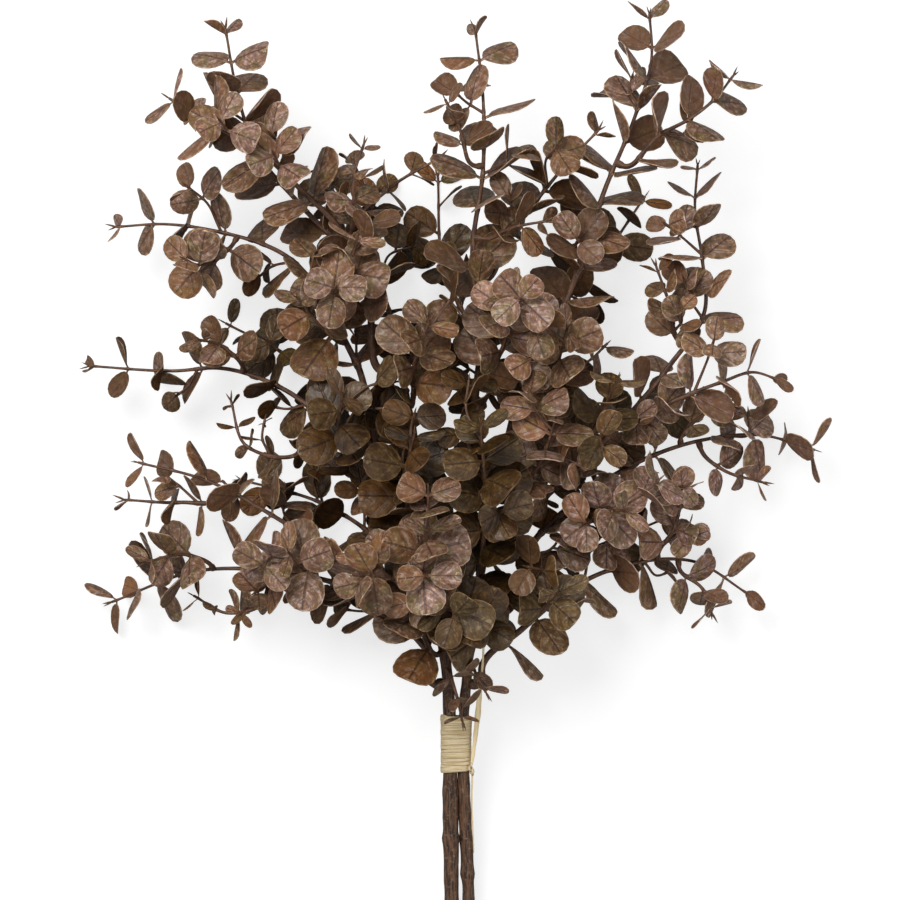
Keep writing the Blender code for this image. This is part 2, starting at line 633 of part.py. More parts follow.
def knot_object():
    """A flattened knot on the winding."""
    mesh = bpy.data.meshes.new("raffia_knot")
    shape = bmesh.new()
    bmesh.ops.create_uvsphere(shape, u_segments=8, v_segments=6, radius=METRE)
    bmesh.ops.scale(shape, vec=KNOT_SIZE, verts=shape.verts)
    bmesh.ops.translate(shape, vec=Vector(KNOT) * METRE, verts=shape.verts)
    shape.to_mesh(mesh)
    shape.free()
    return finish(bpy.data.objects.new("raffia_knot", mesh), (0.62, 0.50, 0.32), 0.7)


def tail_object(name, radius, axis):
    """A free end of raffia, as a round strand along its route."""
    curve = bpy.data.curves.new(name, "CURVE")
    curve.dimensions = "3D"
    curve.bevel_depth = radius * METRE
    curve.bevel_resolution = 2
    curve.use_fill_caps = True
    points = axis.line[::2]
    spline = curve.splines.new("POLY")
    spline.points.add(len(points) - 1)
    for target, point in zip(spline.points, points):
        target.co = (*(point * METRE), 1)
    return finish(bpy.data.objects.new(name, curve), (0.62, 0.52, 0.34), 0.7)


def main():
    for obj in list(bpy.data.objects):
        bpy.data.objects.remove(obj, do_unlink=True)
    axes = plan()
    for name in STEMS:
        stem_object(name, axes[name])
    tie_object(axes)
    knot_object()
    for name, (radius, _) in TAILS.items():
        tail_object(name, radius, axes[name])
    for i, (name, *_) in enumerate(SPRAYS):
        spray_object(name, axes[name], 0.8 + 0.4 * ((i * 7) % 10) / 10)


main()
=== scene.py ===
# %% [markdown]
# # A bunch of dried boxwood
# This lesson dresses a bunch of preserved boxwood: two woody stems, a wrap of raffia and fifty-four leafy
# sprays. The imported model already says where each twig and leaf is. It is built from plain wedges, and each
# piece made below takes the place of one of its nodes, with the real outline, veins and bark.

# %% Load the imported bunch
import json
import math
import random

import bpy
from mathutils import Matrix, Vector
from mathutils.bvhtree import BVHTree
from mathutils.geometry import interpolate_bezier

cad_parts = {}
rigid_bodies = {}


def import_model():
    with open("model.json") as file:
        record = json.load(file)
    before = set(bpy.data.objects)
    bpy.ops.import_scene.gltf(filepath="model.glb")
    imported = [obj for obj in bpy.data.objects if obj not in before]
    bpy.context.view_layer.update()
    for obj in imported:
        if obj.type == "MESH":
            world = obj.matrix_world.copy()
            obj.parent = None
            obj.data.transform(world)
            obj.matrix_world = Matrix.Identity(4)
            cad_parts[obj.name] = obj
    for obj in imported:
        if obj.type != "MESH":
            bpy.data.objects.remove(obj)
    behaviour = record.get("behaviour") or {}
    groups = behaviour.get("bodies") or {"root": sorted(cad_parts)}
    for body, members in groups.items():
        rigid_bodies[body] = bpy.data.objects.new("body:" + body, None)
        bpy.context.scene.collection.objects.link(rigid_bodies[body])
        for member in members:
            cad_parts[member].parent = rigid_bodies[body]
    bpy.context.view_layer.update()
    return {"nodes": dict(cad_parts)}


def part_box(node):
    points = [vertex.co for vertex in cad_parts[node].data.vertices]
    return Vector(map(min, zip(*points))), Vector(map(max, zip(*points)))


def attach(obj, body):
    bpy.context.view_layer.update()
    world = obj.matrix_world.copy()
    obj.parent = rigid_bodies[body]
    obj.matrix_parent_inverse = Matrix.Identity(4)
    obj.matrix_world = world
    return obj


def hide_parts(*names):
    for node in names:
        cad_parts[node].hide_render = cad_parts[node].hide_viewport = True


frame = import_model()

# %% [markdown]
# Sizes are written in millimetres, as a florist would measure them, and turned into Blender's metres at the
# last moment. Colours are written as sRGB hex values, as a picker shows them. A shader works in linear
# light, so one function turns them. A material starts from an empty tree. One more function adds a node to
# any tree, with its settings and its links: an input takes a plain value, a node (its first output) or one
# socket, and a colour ramp takes stops, each a position and a colour.

# %% Millimetres, colours and nodes
MM = 0.001  # a millimetre in metres
MIDDLE = Vector((4.215, -22.45, 0))  # the middle of the bunch in its planned places


def place(point):
    """A planned point in millimetres as a place in the row frame, in metres."""
    return (Vector(point) - MIDDLE) * MM


def linear(colour):
    """A hex sRGB colour as linear RGBA."""
    parts = [int(colour[i:i + 2], 16) / 255 for i in (1, 3, 5)]
    return (*[c / 12.92 if c <= 0.04045 else ((c + 0.055) / 1.055) ** 2.4 for c in parts], 1.0)


def new_paint(name):
    """A new material and its node tree, emptied."""
    paint = bpy.data.materials.new(name)
    paint.use_nodes = True
    paint.node_tree.nodes.clear()
    return paint, paint.node_tree


def add(tree, kind, inputs=None, stops=(), **settings):
    """Adds a node, sets it up and links it."""
    made = tree.nodes.new(kind)
    for name, value in settings.items():
        setattr(made, name, value)
    for k, (position, colour) in enumerate(stops):
        held = made.color_ramp.elements
        stop = held[k] if k < 2 else held.new(position)
        stop.position = position
        stop.color = linear(colour)
    for name, value in (inputs or {}).items():
        if isinstance(value, bpy.types.Node):
            value = value.outputs[0]
        if isinstance(value, bpy.types.NodeSocket):
            tree.links.new(value, made.inputs[name])
        else:
            made.inputs[name].default_value = value
    return made


print("the pale fibres of raffia are", [round(c, 2) for c in linear("#e2d0ac")[:3]], "in linear light")

# %% [markdown]
# The bunch lies on a table, and the camera looks straight down on it with the stems towards its lower edge.
# A long lens far away keeps the near leaves from looming. It frames a square of 360 mm at the height of the
# stems, so the cut ends run out of the frame.

# %% Camera
FRAME_WIDTH = 360.0
STEM_HEIGHT = 45.0
CAMERA_HEIGHT = 1800.0
SENSOR = 36.0
camera = bpy.data.objects.new("camera", bpy.data.cameras.new("camera"))
camera.data.sensor_width = SENSOR
camera.data.lens = SENSOR * CAMERA_HEIGHT / FRAME_WIDTH
camera.location = place((0, 0, STEM_HEIGHT + CAMERA_HEIGHT))
bpy.context.scene.collection.objects.link(camera)
bpy.context.scene.camera = camera
print("lens", round(camera.data.lens), "mm")

# %% [markdown]
# The light is that of a small studio: one wide soft lamp above the head of the bunch and to its left, a
# second, weaker one opposite, and an even white room. Soft lamps give dried leaves their long gentle
# highlights. The gaps between the leaves go dark by themselves.

# %% Room and lamps
scene = bpy.context.scene
scene.view_settings.view_transform = "Standard"
world = bpy.data.worlds.new("white_room")
scene.world = world
world.use_nodes = True
room = world.node_tree
room.nodes.clear()
ROOM_LIGHT = 0.25
path = add(room, "ShaderNodeLightPath")
seen = path.outputs["Is Camera Ray"]
for ray in ("Is Glossy Ray", "Is Transmission Ray"):
    seen = add(room, "ShaderNodeMath", {0: seen, 1: path.outputs[ray]}, operation="MAXIMUM")
level = add(room, "ShaderNodeMix", {"Factor": seen, 2: ROOM_LIGHT, 3: 1.0})
sky = add(room, "ShaderNodeBackground", {"Color": (1, 1, 1, 1), "Strength": level})
add(room, "ShaderNodeOutputWorld", {"Surface": sky})
LAMPS = {  # power in watts, width in metres, and where it hangs
    "key_lamp": (14.5, 0.8, (-0.45, 0.55, 1.20)),
    "fill_lamp": (3.0, 0.9, (0.80, -0.30, 0.90)),
}
LAMP_AIM = Vector((0, 0, 0.05))  # the middle of the bunch
for name, (power, width, spot) in LAMPS.items():
    lamp = bpy.data.lights.new(name, "AREA")
    lamp.shape = "DISK"
    lamp.size = width
    lamp.energy = power
    holder = bpy.data.objects.new(name, lamp)
    holder.location = spot
    holder.rotation_euler = (LAMP_AIM - Vector(spot)).to_track_quat("-Z", "Y").to_euler()
    scene.collection.objects.link(holder)
print("lamps in watts", {name: power for name, (power, _, _) in LAMPS.items()})

# %% [markdown]
# The table is a plain sheet of matt white paper. What the camera sees of it is lifted a little by a glow
# that lights nothing else, so that it reads as white and still holds the shadow.

# %% Table
TABLE_REACH = 1.5  # metres from the middle to an edge
TABLE_GREY = 0.42
CAMERA_LIFT = 0.72
table_mesh = bpy.data.meshes.new("table")
corners = [(x * TABLE_REACH, y * TABLE_REACH, 0.0) for x, y in ((-1, -1), (1, -1), (1, 1), (-1, 1))]
table_mesh.from_pydata(corners, [], [(0, 1, 2, 3)])
table = bpy.data.objects.new("table", table_mesh)
scene.collection.objects.link(table)
table_paint, tree = new_paint("matt_white_paper")
matt = add(tree, "ShaderNodeBsdfDiffuse", {"Color": (TABLE_GREY, TABLE_GREY, TABLE_GREY, 1)})
path = add(tree, "ShaderNodeLightPath")
lift = add(tree, "ShaderNodeMath", {0: path.outputs["Is Camera Ray"], 1: CAMERA_LIFT}, operation="MULTIPLY")
glow = add(tree, "ShaderNodeEmission", {"Strength": lift})
both = add(tree, "ShaderNodeAddShader", {0: matt, 1: glow})
add(tree, "ShaderNodeOutputMaterial", {"Surface": both})
table_mesh.materials.append(table_paint)
print("table", 2 * TABLE_REACH, "m wide")


# %% [markdown]
# ## Where everything is
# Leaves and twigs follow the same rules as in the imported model, so these are the sizes it was built with.
# Real boxwood leaves measure 15 to 25 mm and are two thirds as wide. All places that are not given follow
# by rule and from one seed.

# %% Sizes
SEED = 25
GAP = 0.3  # between pieces that touch
SAMPLE = 1.5  # spacing of the points kept along an axis

LEAF_THICK = 0.7
LEAF_LENGTH = 19.0  # a full-grown leaf with its petiole
SMALL_LEAF = 0.66 * LEAF_LENGTH  # a shorter one has fewer corners
OVAL = (0.66, 0.90)  # width over length on an open spray
ROUND = (0.78, 0.96)  # and on a dense one
SLIM = (0.34, 0.50)  # and at the very tip, or where all leaves are small
SLIM_SIZE = 0.6
FIRST_PAIR = 0.66  # the size of the pair at the tip, and what each pair adds
PAIR_GROWTH = 0.14
DENSE = 10.0  # a spray whose pairs are nearer together than this is dense
PAIRS = ((1, 3), (0, 2))  # the faces of the twig that bear a pair, turn about
TWIG = 0.75  # a twig's radius at its foot, and what each millimetre of its route adds
TWIG_GROWTH = 0.0052
TWIG_TIP = 0.55
STALK = 0.6
STALK_TIP = 0.42
STALK_LENGTH = (14, 26)
DENSE_STALKS = (1, 3, 5)  # the pairs, counted from the tip, beside which a stalk may grow
OPEN_STALKS = (3, 5, 8)
ATTEMPTS = 36  # to find a spray a free way; a leaf gets half as many, a stalk a third
CHECK_STEP = 3.0  # spacing of the rings that tell whether an axis is clear
COLLAR = 2.2  # length of the collar at a spray's foot
COLLAR_SWELL = 1.35
SEAT_ROOM = 3.6  # no leaf starts nearer than this to the seat of another spray
STATION = 1.3  # height of the place on a twig where a pair of leaves starts
FLAT_BELOW = 3.0  # a twig lower than this lays its leaves flat on the surface
FLOOR = 0.2  # the other leaves keep this far above it

TIE_ENDS = (-132.0, -106.5)  # where the raffia is wound, along Y
TIE_ROOM = 2.2  # kept free round the stems for the winding
KNOT_SIZE = (1.7, 2.2, 1.4)  # half its size along each axis
print("a full-grown leaf is", LEAF_LENGTH, "mm long and a twig's foot about", 2 * TWIG, "mm thick")

# %% [markdown]
# The routes are those that the model was built from: two stems, fifty-four sprays, and the two free ends of
# the raffia. A spray is given by its name, what carries it, its largest leaf, the distance between its pairs
# of leaves, and a few points from its seat to its tip.

# %% Stems and sprays
# A stem's radius at its cut end and at its top, and the points that it runs through from the cut end.
STEMS = {
    "stem_left": (3.4, 1.3, [(0.8, -224, 3.5), (0.6, -180, 10.7), (0.1, -136, 18.9), (0, -119, 22.2),
                             (-0.4, -102, 25.4), (-4, -66, 32.2), (-9, -28, 37.4), (-15, 8, 42),
                             (-22, 44, 46)]),
    "stem_right": (2.8, 1.2, [(8.6, -221, 2.9), (7.4, -178, 10.6), (5.6, -136, 18.5), (5.3, -119, 21.7),
                              (6.0, -102, 25), (10, -66, 31.8), (16, -28, 37.4), (24, 8, 42), (34, 44, 46)]),
}

# A spray: its name, what carries it, the largest leaf as a share of LEAF_LENGTH, the distance between
# pairs of leaves, and its route from near its seat to its tip.
SPRAYS = [
    # the long outer branches
    ("top_left", "stem_left", 1.1, 13.5,
     [(-18, 32, 44), (-34, 70, 50), (-58, 96, 53), (-77, 119, 57), (-84, 140, 59), (-89, 167, 62)]),
    ("top_left_side", "top_left", 1.1, 12,
     [(-46, 84, 52), (-60, 104, 62), (-80, 121, 68), (-96, 129, 69), (-111, 139, 67)]),
    ("left_high", "stem_left", 1.0, 16,
     [(-11, -16, 39), (-38, 36, 46), (-66, 78, 42), (-94, 88, 36), (-115, 91, 32), (-135, 90, 30)]),
    ("left_mid", "stem_left", 0.9, 16,
     [(-6, -48, 34), (-42, 4, 34), (-70, 26, 30), (-92, 33, 26), (-112, 32, 24), (-146, 34, 24)]),
    ("left_low", "stem_left", 1.0, 15,
     [(-3, -72, 31), (-36, -50, 42), (-68, -28, 46), (-98, -12, 44), (-125, -5, 42)]),
    ("lower_left", "stem_left", 1.1, 12,
     [(-1, -94, 27), (-6.5, -87, 29), (-16, -73, 31), (-36, -58, 29), (-72, -49, 24), (-102, -49, 18),
      (-138, -62, 11)]),
    ("top_middle", "stem_right", 1.1, 12,
     [(22, -2, 40), (12, 46, 54), (9, 80, 62), (13, 110, 66), (13, 140, 68), (10, 166, 68)]),
    ("top_right", "stem_right", 1.1, 13.5,
     [(31, 32, 45), (45, 56, 50), (52, 74, 52), (61, 102, 55), (74, 134, 58), (80, 156, 60), (79, 173, 62)]),
    ("top_right_side", "top_right", 1.1, 13,
     [(66, 114, 56), (82, 124, 64), (95, 131, 68), (105, 139, 68), (112, 148, 67)]),
    ("right_tall", "stem_right", 0.95, 13,
     [(14, -36, 36), (42, -14, 42), (66, 8, 44), (88, 34, 45), (102, 56, 44), (101, 76, 44), (98, 96, 45),
      (99, 114, 46)]),
    ("right_high", "right_tall", 0.95, 13,
     [(74, 17, 45), (90, 20, 52), (108, 27, 54), (121, 31, 52), (131, 28, 50)]),
    ("right_mid", "stem_right", 1.1, 14,
     [(9, -62, 32), (36, -34, 38), (60, -14, 36), (80, -3, 32), (102, 4, 28), (126, 6, 24), (148, 0, 20)]),
    ("lower_right", "stem_right", 1.1, 13,
     [(7, -94, 27), (13, -87, 29), (28, -73, 31), (56, -52, 28), (78, -45, 24), (98, -45, 20),
      (122, -59, 13)]),
    ("upper_right", "top_middle", 1.05, 11,
     [(9, 66, 60), (22, 82, 58), (32, 96, 57), (44, 111, 58), (59, 127, 60)]),
    ("upper_left", "top_left", 0.75, 13,
     [(-37, 73, 50), (-36, 92, 44), (-24, 105, 42), (-4, 117, 44)]),
    # short sprays on them
    ("left_low_side", "left_low", 0.75, 11, [(-90, -15, 46), (-108, -21, 40), (-131, -20, 36)]),
    ("left_high_side", "left_high", 1.0, 9, [(-86, 86, 38), (-93, 76, 48), (-101, 70, 51)]),
    ("left_mid_curl", "left_mid", 0.6, 11, [(-52, 13, 34), (-62, -2, 40), (-82, 2, 41), (-88, 20, 38)]),
    ("left_mid_side", "left_mid", 0.85, 10, [(-84, 31, 28), (-92, 42, 40), (-100, 44, 48)]),
    ("lower_left_curl", "lower_left", 0.6, 11,
     [(-72, -50, 25), (-76, -62, 28), (-90, -66, 25), (-104, -59, 21)]),
    ("lower_left_side", "lower_left", 1.0, 10, [(-96, -49, 20), (-108, -42, 32), (-122, -45, 39)]),
    ("top_left_curl", "top_left", 0.65, 12, [(-44, 82, 52), (-38, 96, 64), (-38, 108, 67), (-34, 121, 67)]),
    ("top_middle_left", "top_middle", 0.75, 10, [(13, 112, 66), (4, 126, 74), (-2, 138, 76)]),
    ("top_middle_right", "top_middle", 0.95, 10, [(11, 84, 63), (26, 88, 72), (38, 90, 75)]),
    ("right_tall_inner", "right_tall", 0.75, 10, [(93, 42, 45), (88, 56, 54), (82, 73, 56)]),
    ("right_mid_up", "right_mid", 0.7, 10, [(94, 1, 29), (100, 13, 38), (113, 20, 40)]),
    ("right_mid_down", "right_mid", 0.75, 10, [(100, 3, 28), (110, -8, 32), (126, -13, 30)]),
    ("lower_right_up", "lower_right", 0.8, 9, [(84, -45, 23), (90, -32, 36), (94, -14, 40)]),
    ("lower_right_down", "lower_right", 0.85, 10, [(92, -45, 21), (102, -56, 26), (106, -66, 22)]),
    # the sprays that rise from the middle of the head
    ("front_top", "top_middle", 0.95, 8.5, [(15, 32, 50), (22, 44, 70), (20, 62, 90)]),
    ("front_top_right", "stem_right", 1.0, 9, [(28, 22, 43), (42, 34, 68), (46, 48, 84)]),
    ("front_top_left", "stem_left", 1.0, 9, [(-14, 18, 43), (-14, 34, 72), (-8, 50, 90)]),
    ("front_left_high", "left_high", 1.05, 9, [(-42, 44, 45), (-52, 50, 66), (-60, 60, 77)]),
    ("front_left_top", "top_left", 1.0, 9, [(-28, 56, 48), (-40, 70, 72), (-36, 84, 81)]),
    ("front_left", "left_mid", 1.0, 9, [(-36, -2, 35), (-44, 8, 62), (-42, 22, 79)]),
    ("front_middle", "stem_left", 1.05, 8.5, [(-8, -38, 36), (-18, -14, 72), (-14, 6, 91)]),
    ("front_low", "stem_left", 1.05, 8.5, [(-4, -60, 33), (-12, -46, 72), (-8, -30, 95)]),
    ("front_low_left", "stem_left", 1.05, 8.5, [(-2, -80, 29), (-18, -56, 65), (-32, -42, 84)]),
    ("front_lower_left", "left_low", 1.05, 8.5, [(-46, -42, 44), (-58, -46, 63), (-64, -40, 74)]),
    ("front_right", "stem_right", 1.0, 8.5, [(12, -50, 34), (14, -24, 72), (12, 10, 95)]),
    ("front_right_high", "stem_right", 1.0, 9, [(18, -20, 38), (36, -4, 68), (42, 14, 82)]),
    ("front_right_side", "right_mid", 1.0, 8.5, [(50, -22, 37), (62, -24, 60), (70, -24, 72)]),
    ("front_right_tall", "right_tall", 0.95, 11, [(54, -4, 43), (60, 14, 64), (66, 28, 74)]),
    ("front_foot", "stem_right", 1.1, 9, [(8, -82, 29), (9, -70, 58), (-4, -60, 79)]),
    ("front_foot_right", "lower_right", 1.05, 9, [(32, -70, 31), (38, -62, 52), (43, -56, 66)]),
    ("droop_left", "stem_left", 0.6, 10, [(-0.6, -92, 27), (-1, -88, 36), (2, -96, 42), (5, -109, 39)]),
    ("droop_right", "stem_right", 0.9, 10, [(7, -90, 27), (8, -84, 38), (11, -90, 46), (14, -97, 46)]),
    # the sprays underneath, which lie on the surface
    ("under_left_low", "stem_left", 0.95, 12,
     [(-3, -64, 32), (-30, -36, 14), (-52, -22, 2.5), (-86, -12, 1.2)]),
    ("under_left", "stem_left", 0.95, 12, [(-12, -8, 40), (-38, 16, 15), (-62, 36, 2.5), (-92, 52, 1.2)]),
    ("under_top_left", "stem_left", 0.95, 12,
     [(-17, 24, 43), (-26, 60, 19), (-38, 84, 2.5), (-52, 116, 1.2)]),
    ("under_top", "stem_right", 0.95, 12, [(26, 14, 42), (8, 50, 19), (-3, 76, 2.5), (-5, 112, 1.2)]),
    ("under_top_right", "stem_right", 0.95, 12, [(33, 40, 45), (48, 62, 19), (62, 78, 2.5), (80, 104, 1.2)]),
    ("under_right", "stem_right", 0.95, 12, [(17, -26, 37), (42, -6, 15), (66, 8, 2.5), (98, 22, 1.2)]),
    ("under_right_low", "stem_right", 0.95, 12,
     [(9, -72, 30), (30, -58, 13), (52, -44, 2.5), (88, -28, 1.2)]),
]

# Where the raffia is knotted, and its two free ends: a radius and the points that each runs through.
KNOT = (8.8, -129.2, 23.9)
TAILS = {
    "raffia_tail_up": (0.5, [(8.9, -126.4, 23.8), (10, -118, 25.5), (11.2, -107, 28.5), (12, -97, 35),
                             (13, -86, 45), (13.4, -74, 57), (12.6, -62, 68)]),
    "raffia_tail_down": (0.35, [(9.0, -132, 22.4), (8.9, -137, 20.0), (8.8, -143, 17.6), (9.2, -152, 15.8),
                                (9.7, -164, 13.6)]),
}
print(len(STEMS), "stems,", len(SPRAYS), "sprays,", len(TAILS), "free ends of raffia")


# %% [markdown]
# A real branch never kinks, so the few points of a route are joined by a smooth curve. It is kept as even
# steps, because everything that grows on it is placed by distance.

# %% Smooth lines
def smooth(points):
    """Even points along a smooth curve through the given ones."""
    points = [Vector(p) for p in points]
    gaps = [(b - a).length for a, b in zip(points, points[1:])]
    slopes = [(points[1] - points[0]).normalized()]
    for i in range(1, len(points) - 1):
        before = (points[i] - points[i - 1]) / gaps[i - 1]
        after = (points[i + 1] - points[i]) / gaps[i]
        slopes.append((before * gaps[i] + after * gaps[i - 1]) / (gaps[i] + gaps[i - 1]))
    slopes.append((points[-1] - points[-2]).normalized())
    fine = []
    for i, gap in enumerate(gaps):
        a, b = points[i], points[i + 1]
        curve = interpolate_bezier(a, a + slopes[i] * gap / 3, b - slopes[i + 1] * gap / 3, b, 40)
        fine += curve[:-1]
    return spaced(fine + [points[-1]], SAMPLE)


def spaced(line, step):
    """The same line with points the given step apart."""
    lengths = [0.0]
    for a, b in zip(line, line[1:]):
        lengths.append(lengths[-1] + (b - a).length)
    count = max(2, round(lengths[-1] / step) + 1)
    result = []
    k = 0
    for i in range(count):
        target = lengths[-1] * i / (count - 1)
        while k < len(line) - 2 and lengths[k + 1] < target:
            k += 1
        share = (target - lengths[k]) / max(lengths[k + 1] - lengths[k], 1e-9)
        result.append(line[k].lerp(line[k + 1], share))
    return result


print("the left stem runs through", len(smooth(STEMS["stem_left"][2])), "points")


# %% [markdown]
# A twig is more than a line: leaves come off it in crossed pairs, so each point also needs a direction, a
# side to measure angles from, and a radius. The side is carried along from point to point and only
# straightened against the new direction, which gives a frame that never spins.

# %% An axis
class Axis:
    """A stem, twig or stalk: a tapering centre line that carries a frame from its foot to its tip."""

    def __init__(self, node, route, foot_radius, tip_radius, start=None, side=None, collar=False):
        self.node = node
        self.line = smooth(route)
        self.step = (self.line[1] - self.line[0]).length
        self.length = self.step * (len(self.line) - 1)
        self.radii = (foot_radius, tip_radius)
        self.collar = collar
        self.leaves = []
        self.stalks = []
        self.seats = []
        ahead = [(b - a).normalized() for a, b in zip(self.line, self.line[1:])]
        self.tangents = [ahead[0]] + [(a + b).normalized() for a, b in zip(ahead, ahead[1:])] + [ahead[-1]]
        if start:
            self.tangents[0] = start
        side = side or self.tangents[0].orthogonal()
        self.sides = []
        for tangent in self.tangents:
            side = (side - tangent * side.dot(tangent)).normalized()
            self.sides.append(side)

    def turn(self, angle):
        """Turns the frame about the axis, all along it."""
        self.sides = [Matrix.Rotation(angle, 3, t) @ s for s, t in zip(self.sides, self.tangents)]

    def at(self, s):
        """The point, tangent, side and radius at a distance along the axis."""
        place = min(max(s / self.step, 0.0), len(self.line) - 1.001)
        k = int(place)
        share = place - k
        point = self.line[k].lerp(self.line[k + 1], share)
        tangent = self.tangents[k].lerp(self.tangents[k + 1], share).normalized()
        side = self.sides[k].lerp(self.sides[k + 1], share)
        side = (side - tangent * side.dot(tangent)).normalized()
        radius = self.radii[0] + (self.radii[1] - self.radii[0]) * s / self.length
        if self.collar and s < COLLAR:
            radius *= COLLAR_SWELL
        return point, tangent, side, radius

    def ring(self, s, grow):
        """The corners of the section at s. Face k of the four looks k quarter turns from the side."""
        point, tangent, side, radius = self.at(s)
        across = tangent.cross(side)
        angles = [(k - 0.5) * math.tau / 4 for k in range(4)]
        return [point + (side * math.cos(a) + across * math.sin(a)) * (radius + grow) for a in angles]

    def outward(self, s, face):
        """The way that a face looks."""
        _, tangent, side, _ = self.at(s)
        return Matrix.Rotation(face * math.pi / 2, 3, tangent) @ side

    def shape(self, grow=0.0, start=0.0):
        """A four-sided tube round the axis, from a distance along it to its tip."""
        count = max(2, round((self.length - start) / CHECK_STEP))
        stations = [start + (self.length - start) * i / count for i in range(count + 1)]
        return Shape(self.node, [self.ring(s, grow) for s in stations])


print("stem lengths in mm", [round(Axis(n, route, a, b).length) for n, (a, b, route) in STEMS.items()])


# %% [markdown]
# ## Raffia
# The tie is a flat strip of pale palm fibre. Fibres run along it, so its streaks use the strand's own
# coordinates too. It is matt and cream, with yellow-tan creases between the fibres. The two free ends are
# single thin plies, which let the light through; that light is painted into their colour, which is warmer
# and lighter than the winding's.

# %% Raffia
FIBRE_MM = 0.28
FIBRE_STRETCH = 0.03  # how fast the streaks change along a fibre, as a share of across it
STAIN_MM = 5.0


def raffia_paint(name, crease, fibre, stain):
    """Raffia with creases between its fibres and a broad stain."""
    paint, tree = new_paint(name)
    around = add(tree, "ShaderNodeAttribute", attribute_name="bark").outputs["Vector"]
    drawn = add(tree, "ShaderNodeMapping", {"Vector": around, "Scale": (1, 1, FIBRE_STRETCH)})
    fibres = add(tree, "ShaderNodeTexNoise", {"Vector": drawn, "Scale": 1 / (FIBRE_MM * MM), "Detail": 3.0})
    stains = add(tree, "ShaderNodeTexNoise", {"Vector": around, "Scale": 1 / (STAIN_MM * MM), "Detail": 1.0})
    colour = add(tree, "ShaderNodeValToRGB", {"Fac": fibres}, stops=((0.32, crease), (0.56, fibre)))
    share = add(tree, "ShaderNodeMapRange", {"Value": stains, "From Min": 0.5, "From Max": 0.8,
                                             "To Max": 0.5})
    colour = add(tree, "ShaderNodeMix", {"Factor": share, 6: colour, 7: linear(stain)}, data_type="RGBA")
    bump = add(tree, "ShaderNodeBump", {"Strength": 0.7, "Distance": 0.15 * MM, "Height": fibres})
    shader = add(tree, "ShaderNodeBsdfPrincipled", {"Base Color": colour.outputs[2], "Roughness": 0.72,
                                                    "Normal": bump})
    add(tree, "ShaderNodeOutputMaterial", {"Surface": shader})
    return paint


raffia = raffia_paint("natural_raffia", "#b2955c", "#e2d0ac", "#cab17f")
# the free ends' paler, warmer colour is painted light shining through the thin plies
raffia_painted_glow = raffia_paint("split_raffia_painted_glow", "#f0cd92", "#fdeabb", "#f2d49e")
print("tie:", raffia.name, "fibres", FIBRE_MM, "mm wide")


# %% [markdown]
# ## Trees that grow pieces
# Geometry Nodes can make a piece from a bare guide. A tree needs an outside first: the inputs that a
# modifier sets, with their kinds and start values, and the result it hands back. Both trees of this lesson
# get theirs from one helper.

# %% A tree's outside
def new_tree(name, result, **inputs):
    """A Geometry Nodes tree whose outside has inputs, each a kind and a start value, and one result."""
    tree = bpy.data.node_groups.new(name, "GeometryNodeTree")
    for title, (kind, value) in inputs.items():
        title = title.replace("_", " ")
        made = tree.interface.new_socket(title, in_out="INPUT", socket_type="NodeSocket" + kind)
        if value is not None:
            made.default_value = value
    tree.interface.new_socket(result, in_out="OUTPUT", socket_type="NodeSocketGeometry")
    return tree, add(tree, "NodeGroupInput").outputs


print("a tree's outside can have", ["Geometry", "Collection", "Material", "Int", "Float"], "inputs")


# %% [markdown]
# ## A strand along a guide
# Twigs, stems and raffia are all strands: a section swept along a line. Geometry Nodes do that once for all
# of them. The guide is a bare line of points that carries three values: "thick", the strand's radius there,
# "outward", which way its flat side looks, and, after the sweep, "bark", the coordinates that the finishes
# read. The section's sides, its flatness and the height of the ridges are inputs of the tree, and the ends
# have a finish of their own.

# %% The strand tree
RIDGE_STRETCH = 0.12  # how fast the ridges change along a strand, as a share of across it
strand, given = new_tree(
    "strand_along_guide", "Strand", Guide=("Geometry", None), Sides=("Int", 8), Flatness=("Float", 1.0),
    Ridge_height=("Float", 0.0), Ridge_width=("Float", 0.001), Finish=("Material", None),
    Cap_finish=("Material", None))
thick, along = (add(strand, "GeometryNodeInputNamedAttribute", {"Name": name}) for name in ("thick", "along"))
outward, around, bark = (
    add(strand, "GeometryNodeInputNamedAttribute", {"Name": name}, data_type="FLOAT_VECTOR")
    for name in ("outward", "around", "bark"))

# the guide becomes a curve that knows its own length, and a circle of radius one becomes the section
line = add(strand, "GeometryNodeMeshToCurve", {"Mesh": given["Guide"]})
line = add(strand, "GeometryNodeSetCurveNormal", {"Curve": line, "Normal": outward}, mode="FREE")
reach = add(strand, "GeometryNodeSplineParameter").outputs["Length"]
line = add(strand, "GeometryNodeStoreNamedAttribute", {"Geometry": line, "Name": "along", "Value": reach})
section = add(strand, "GeometryNodeCurvePrimitiveCircle", {"Resolution": given["Sides"], "Radius": 1.0})
corner = add(strand, "GeometryNodeInputPosition")
section = add(strand, "GeometryNodeStoreNamedAttribute", {"Geometry": section, "Name": "around",
                                                          "Value": corner}, data_type="FLOAT_VECTOR")
flat = add(strand, "ShaderNodeCombineXYZ", {"X": given["Flatness"], "Y": 1.0, "Z": 1.0})
section = add(strand, "GeometryNodeTransform", {"Geometry": section, "Scale": flat})
swept = add(strand, "GeometryNodeCurveToMesh", {"Curve": line, "Profile Curve": section, "Scale": thick,
                                                "Fill Caps": True})

# the finishes' coordinates: round the strand in its own thickness, and along it
round_it = add(strand, "ShaderNodeVectorMath", {0: around, "Scale": thick}, operation="SCALE")
lengthwise = add(strand, "ShaderNodeCombineXYZ", {"Z": along})
own_place = add(strand, "ShaderNodeVectorMath", {0: round_it, 1: lengthwise}, operation="ADD")
swept = add(strand, "GeometryNodeStoreNamedAttribute", {"Geometry": swept, "Name": "bark",
                                                        "Value": own_place}, data_type="FLOAT_VECTOR")

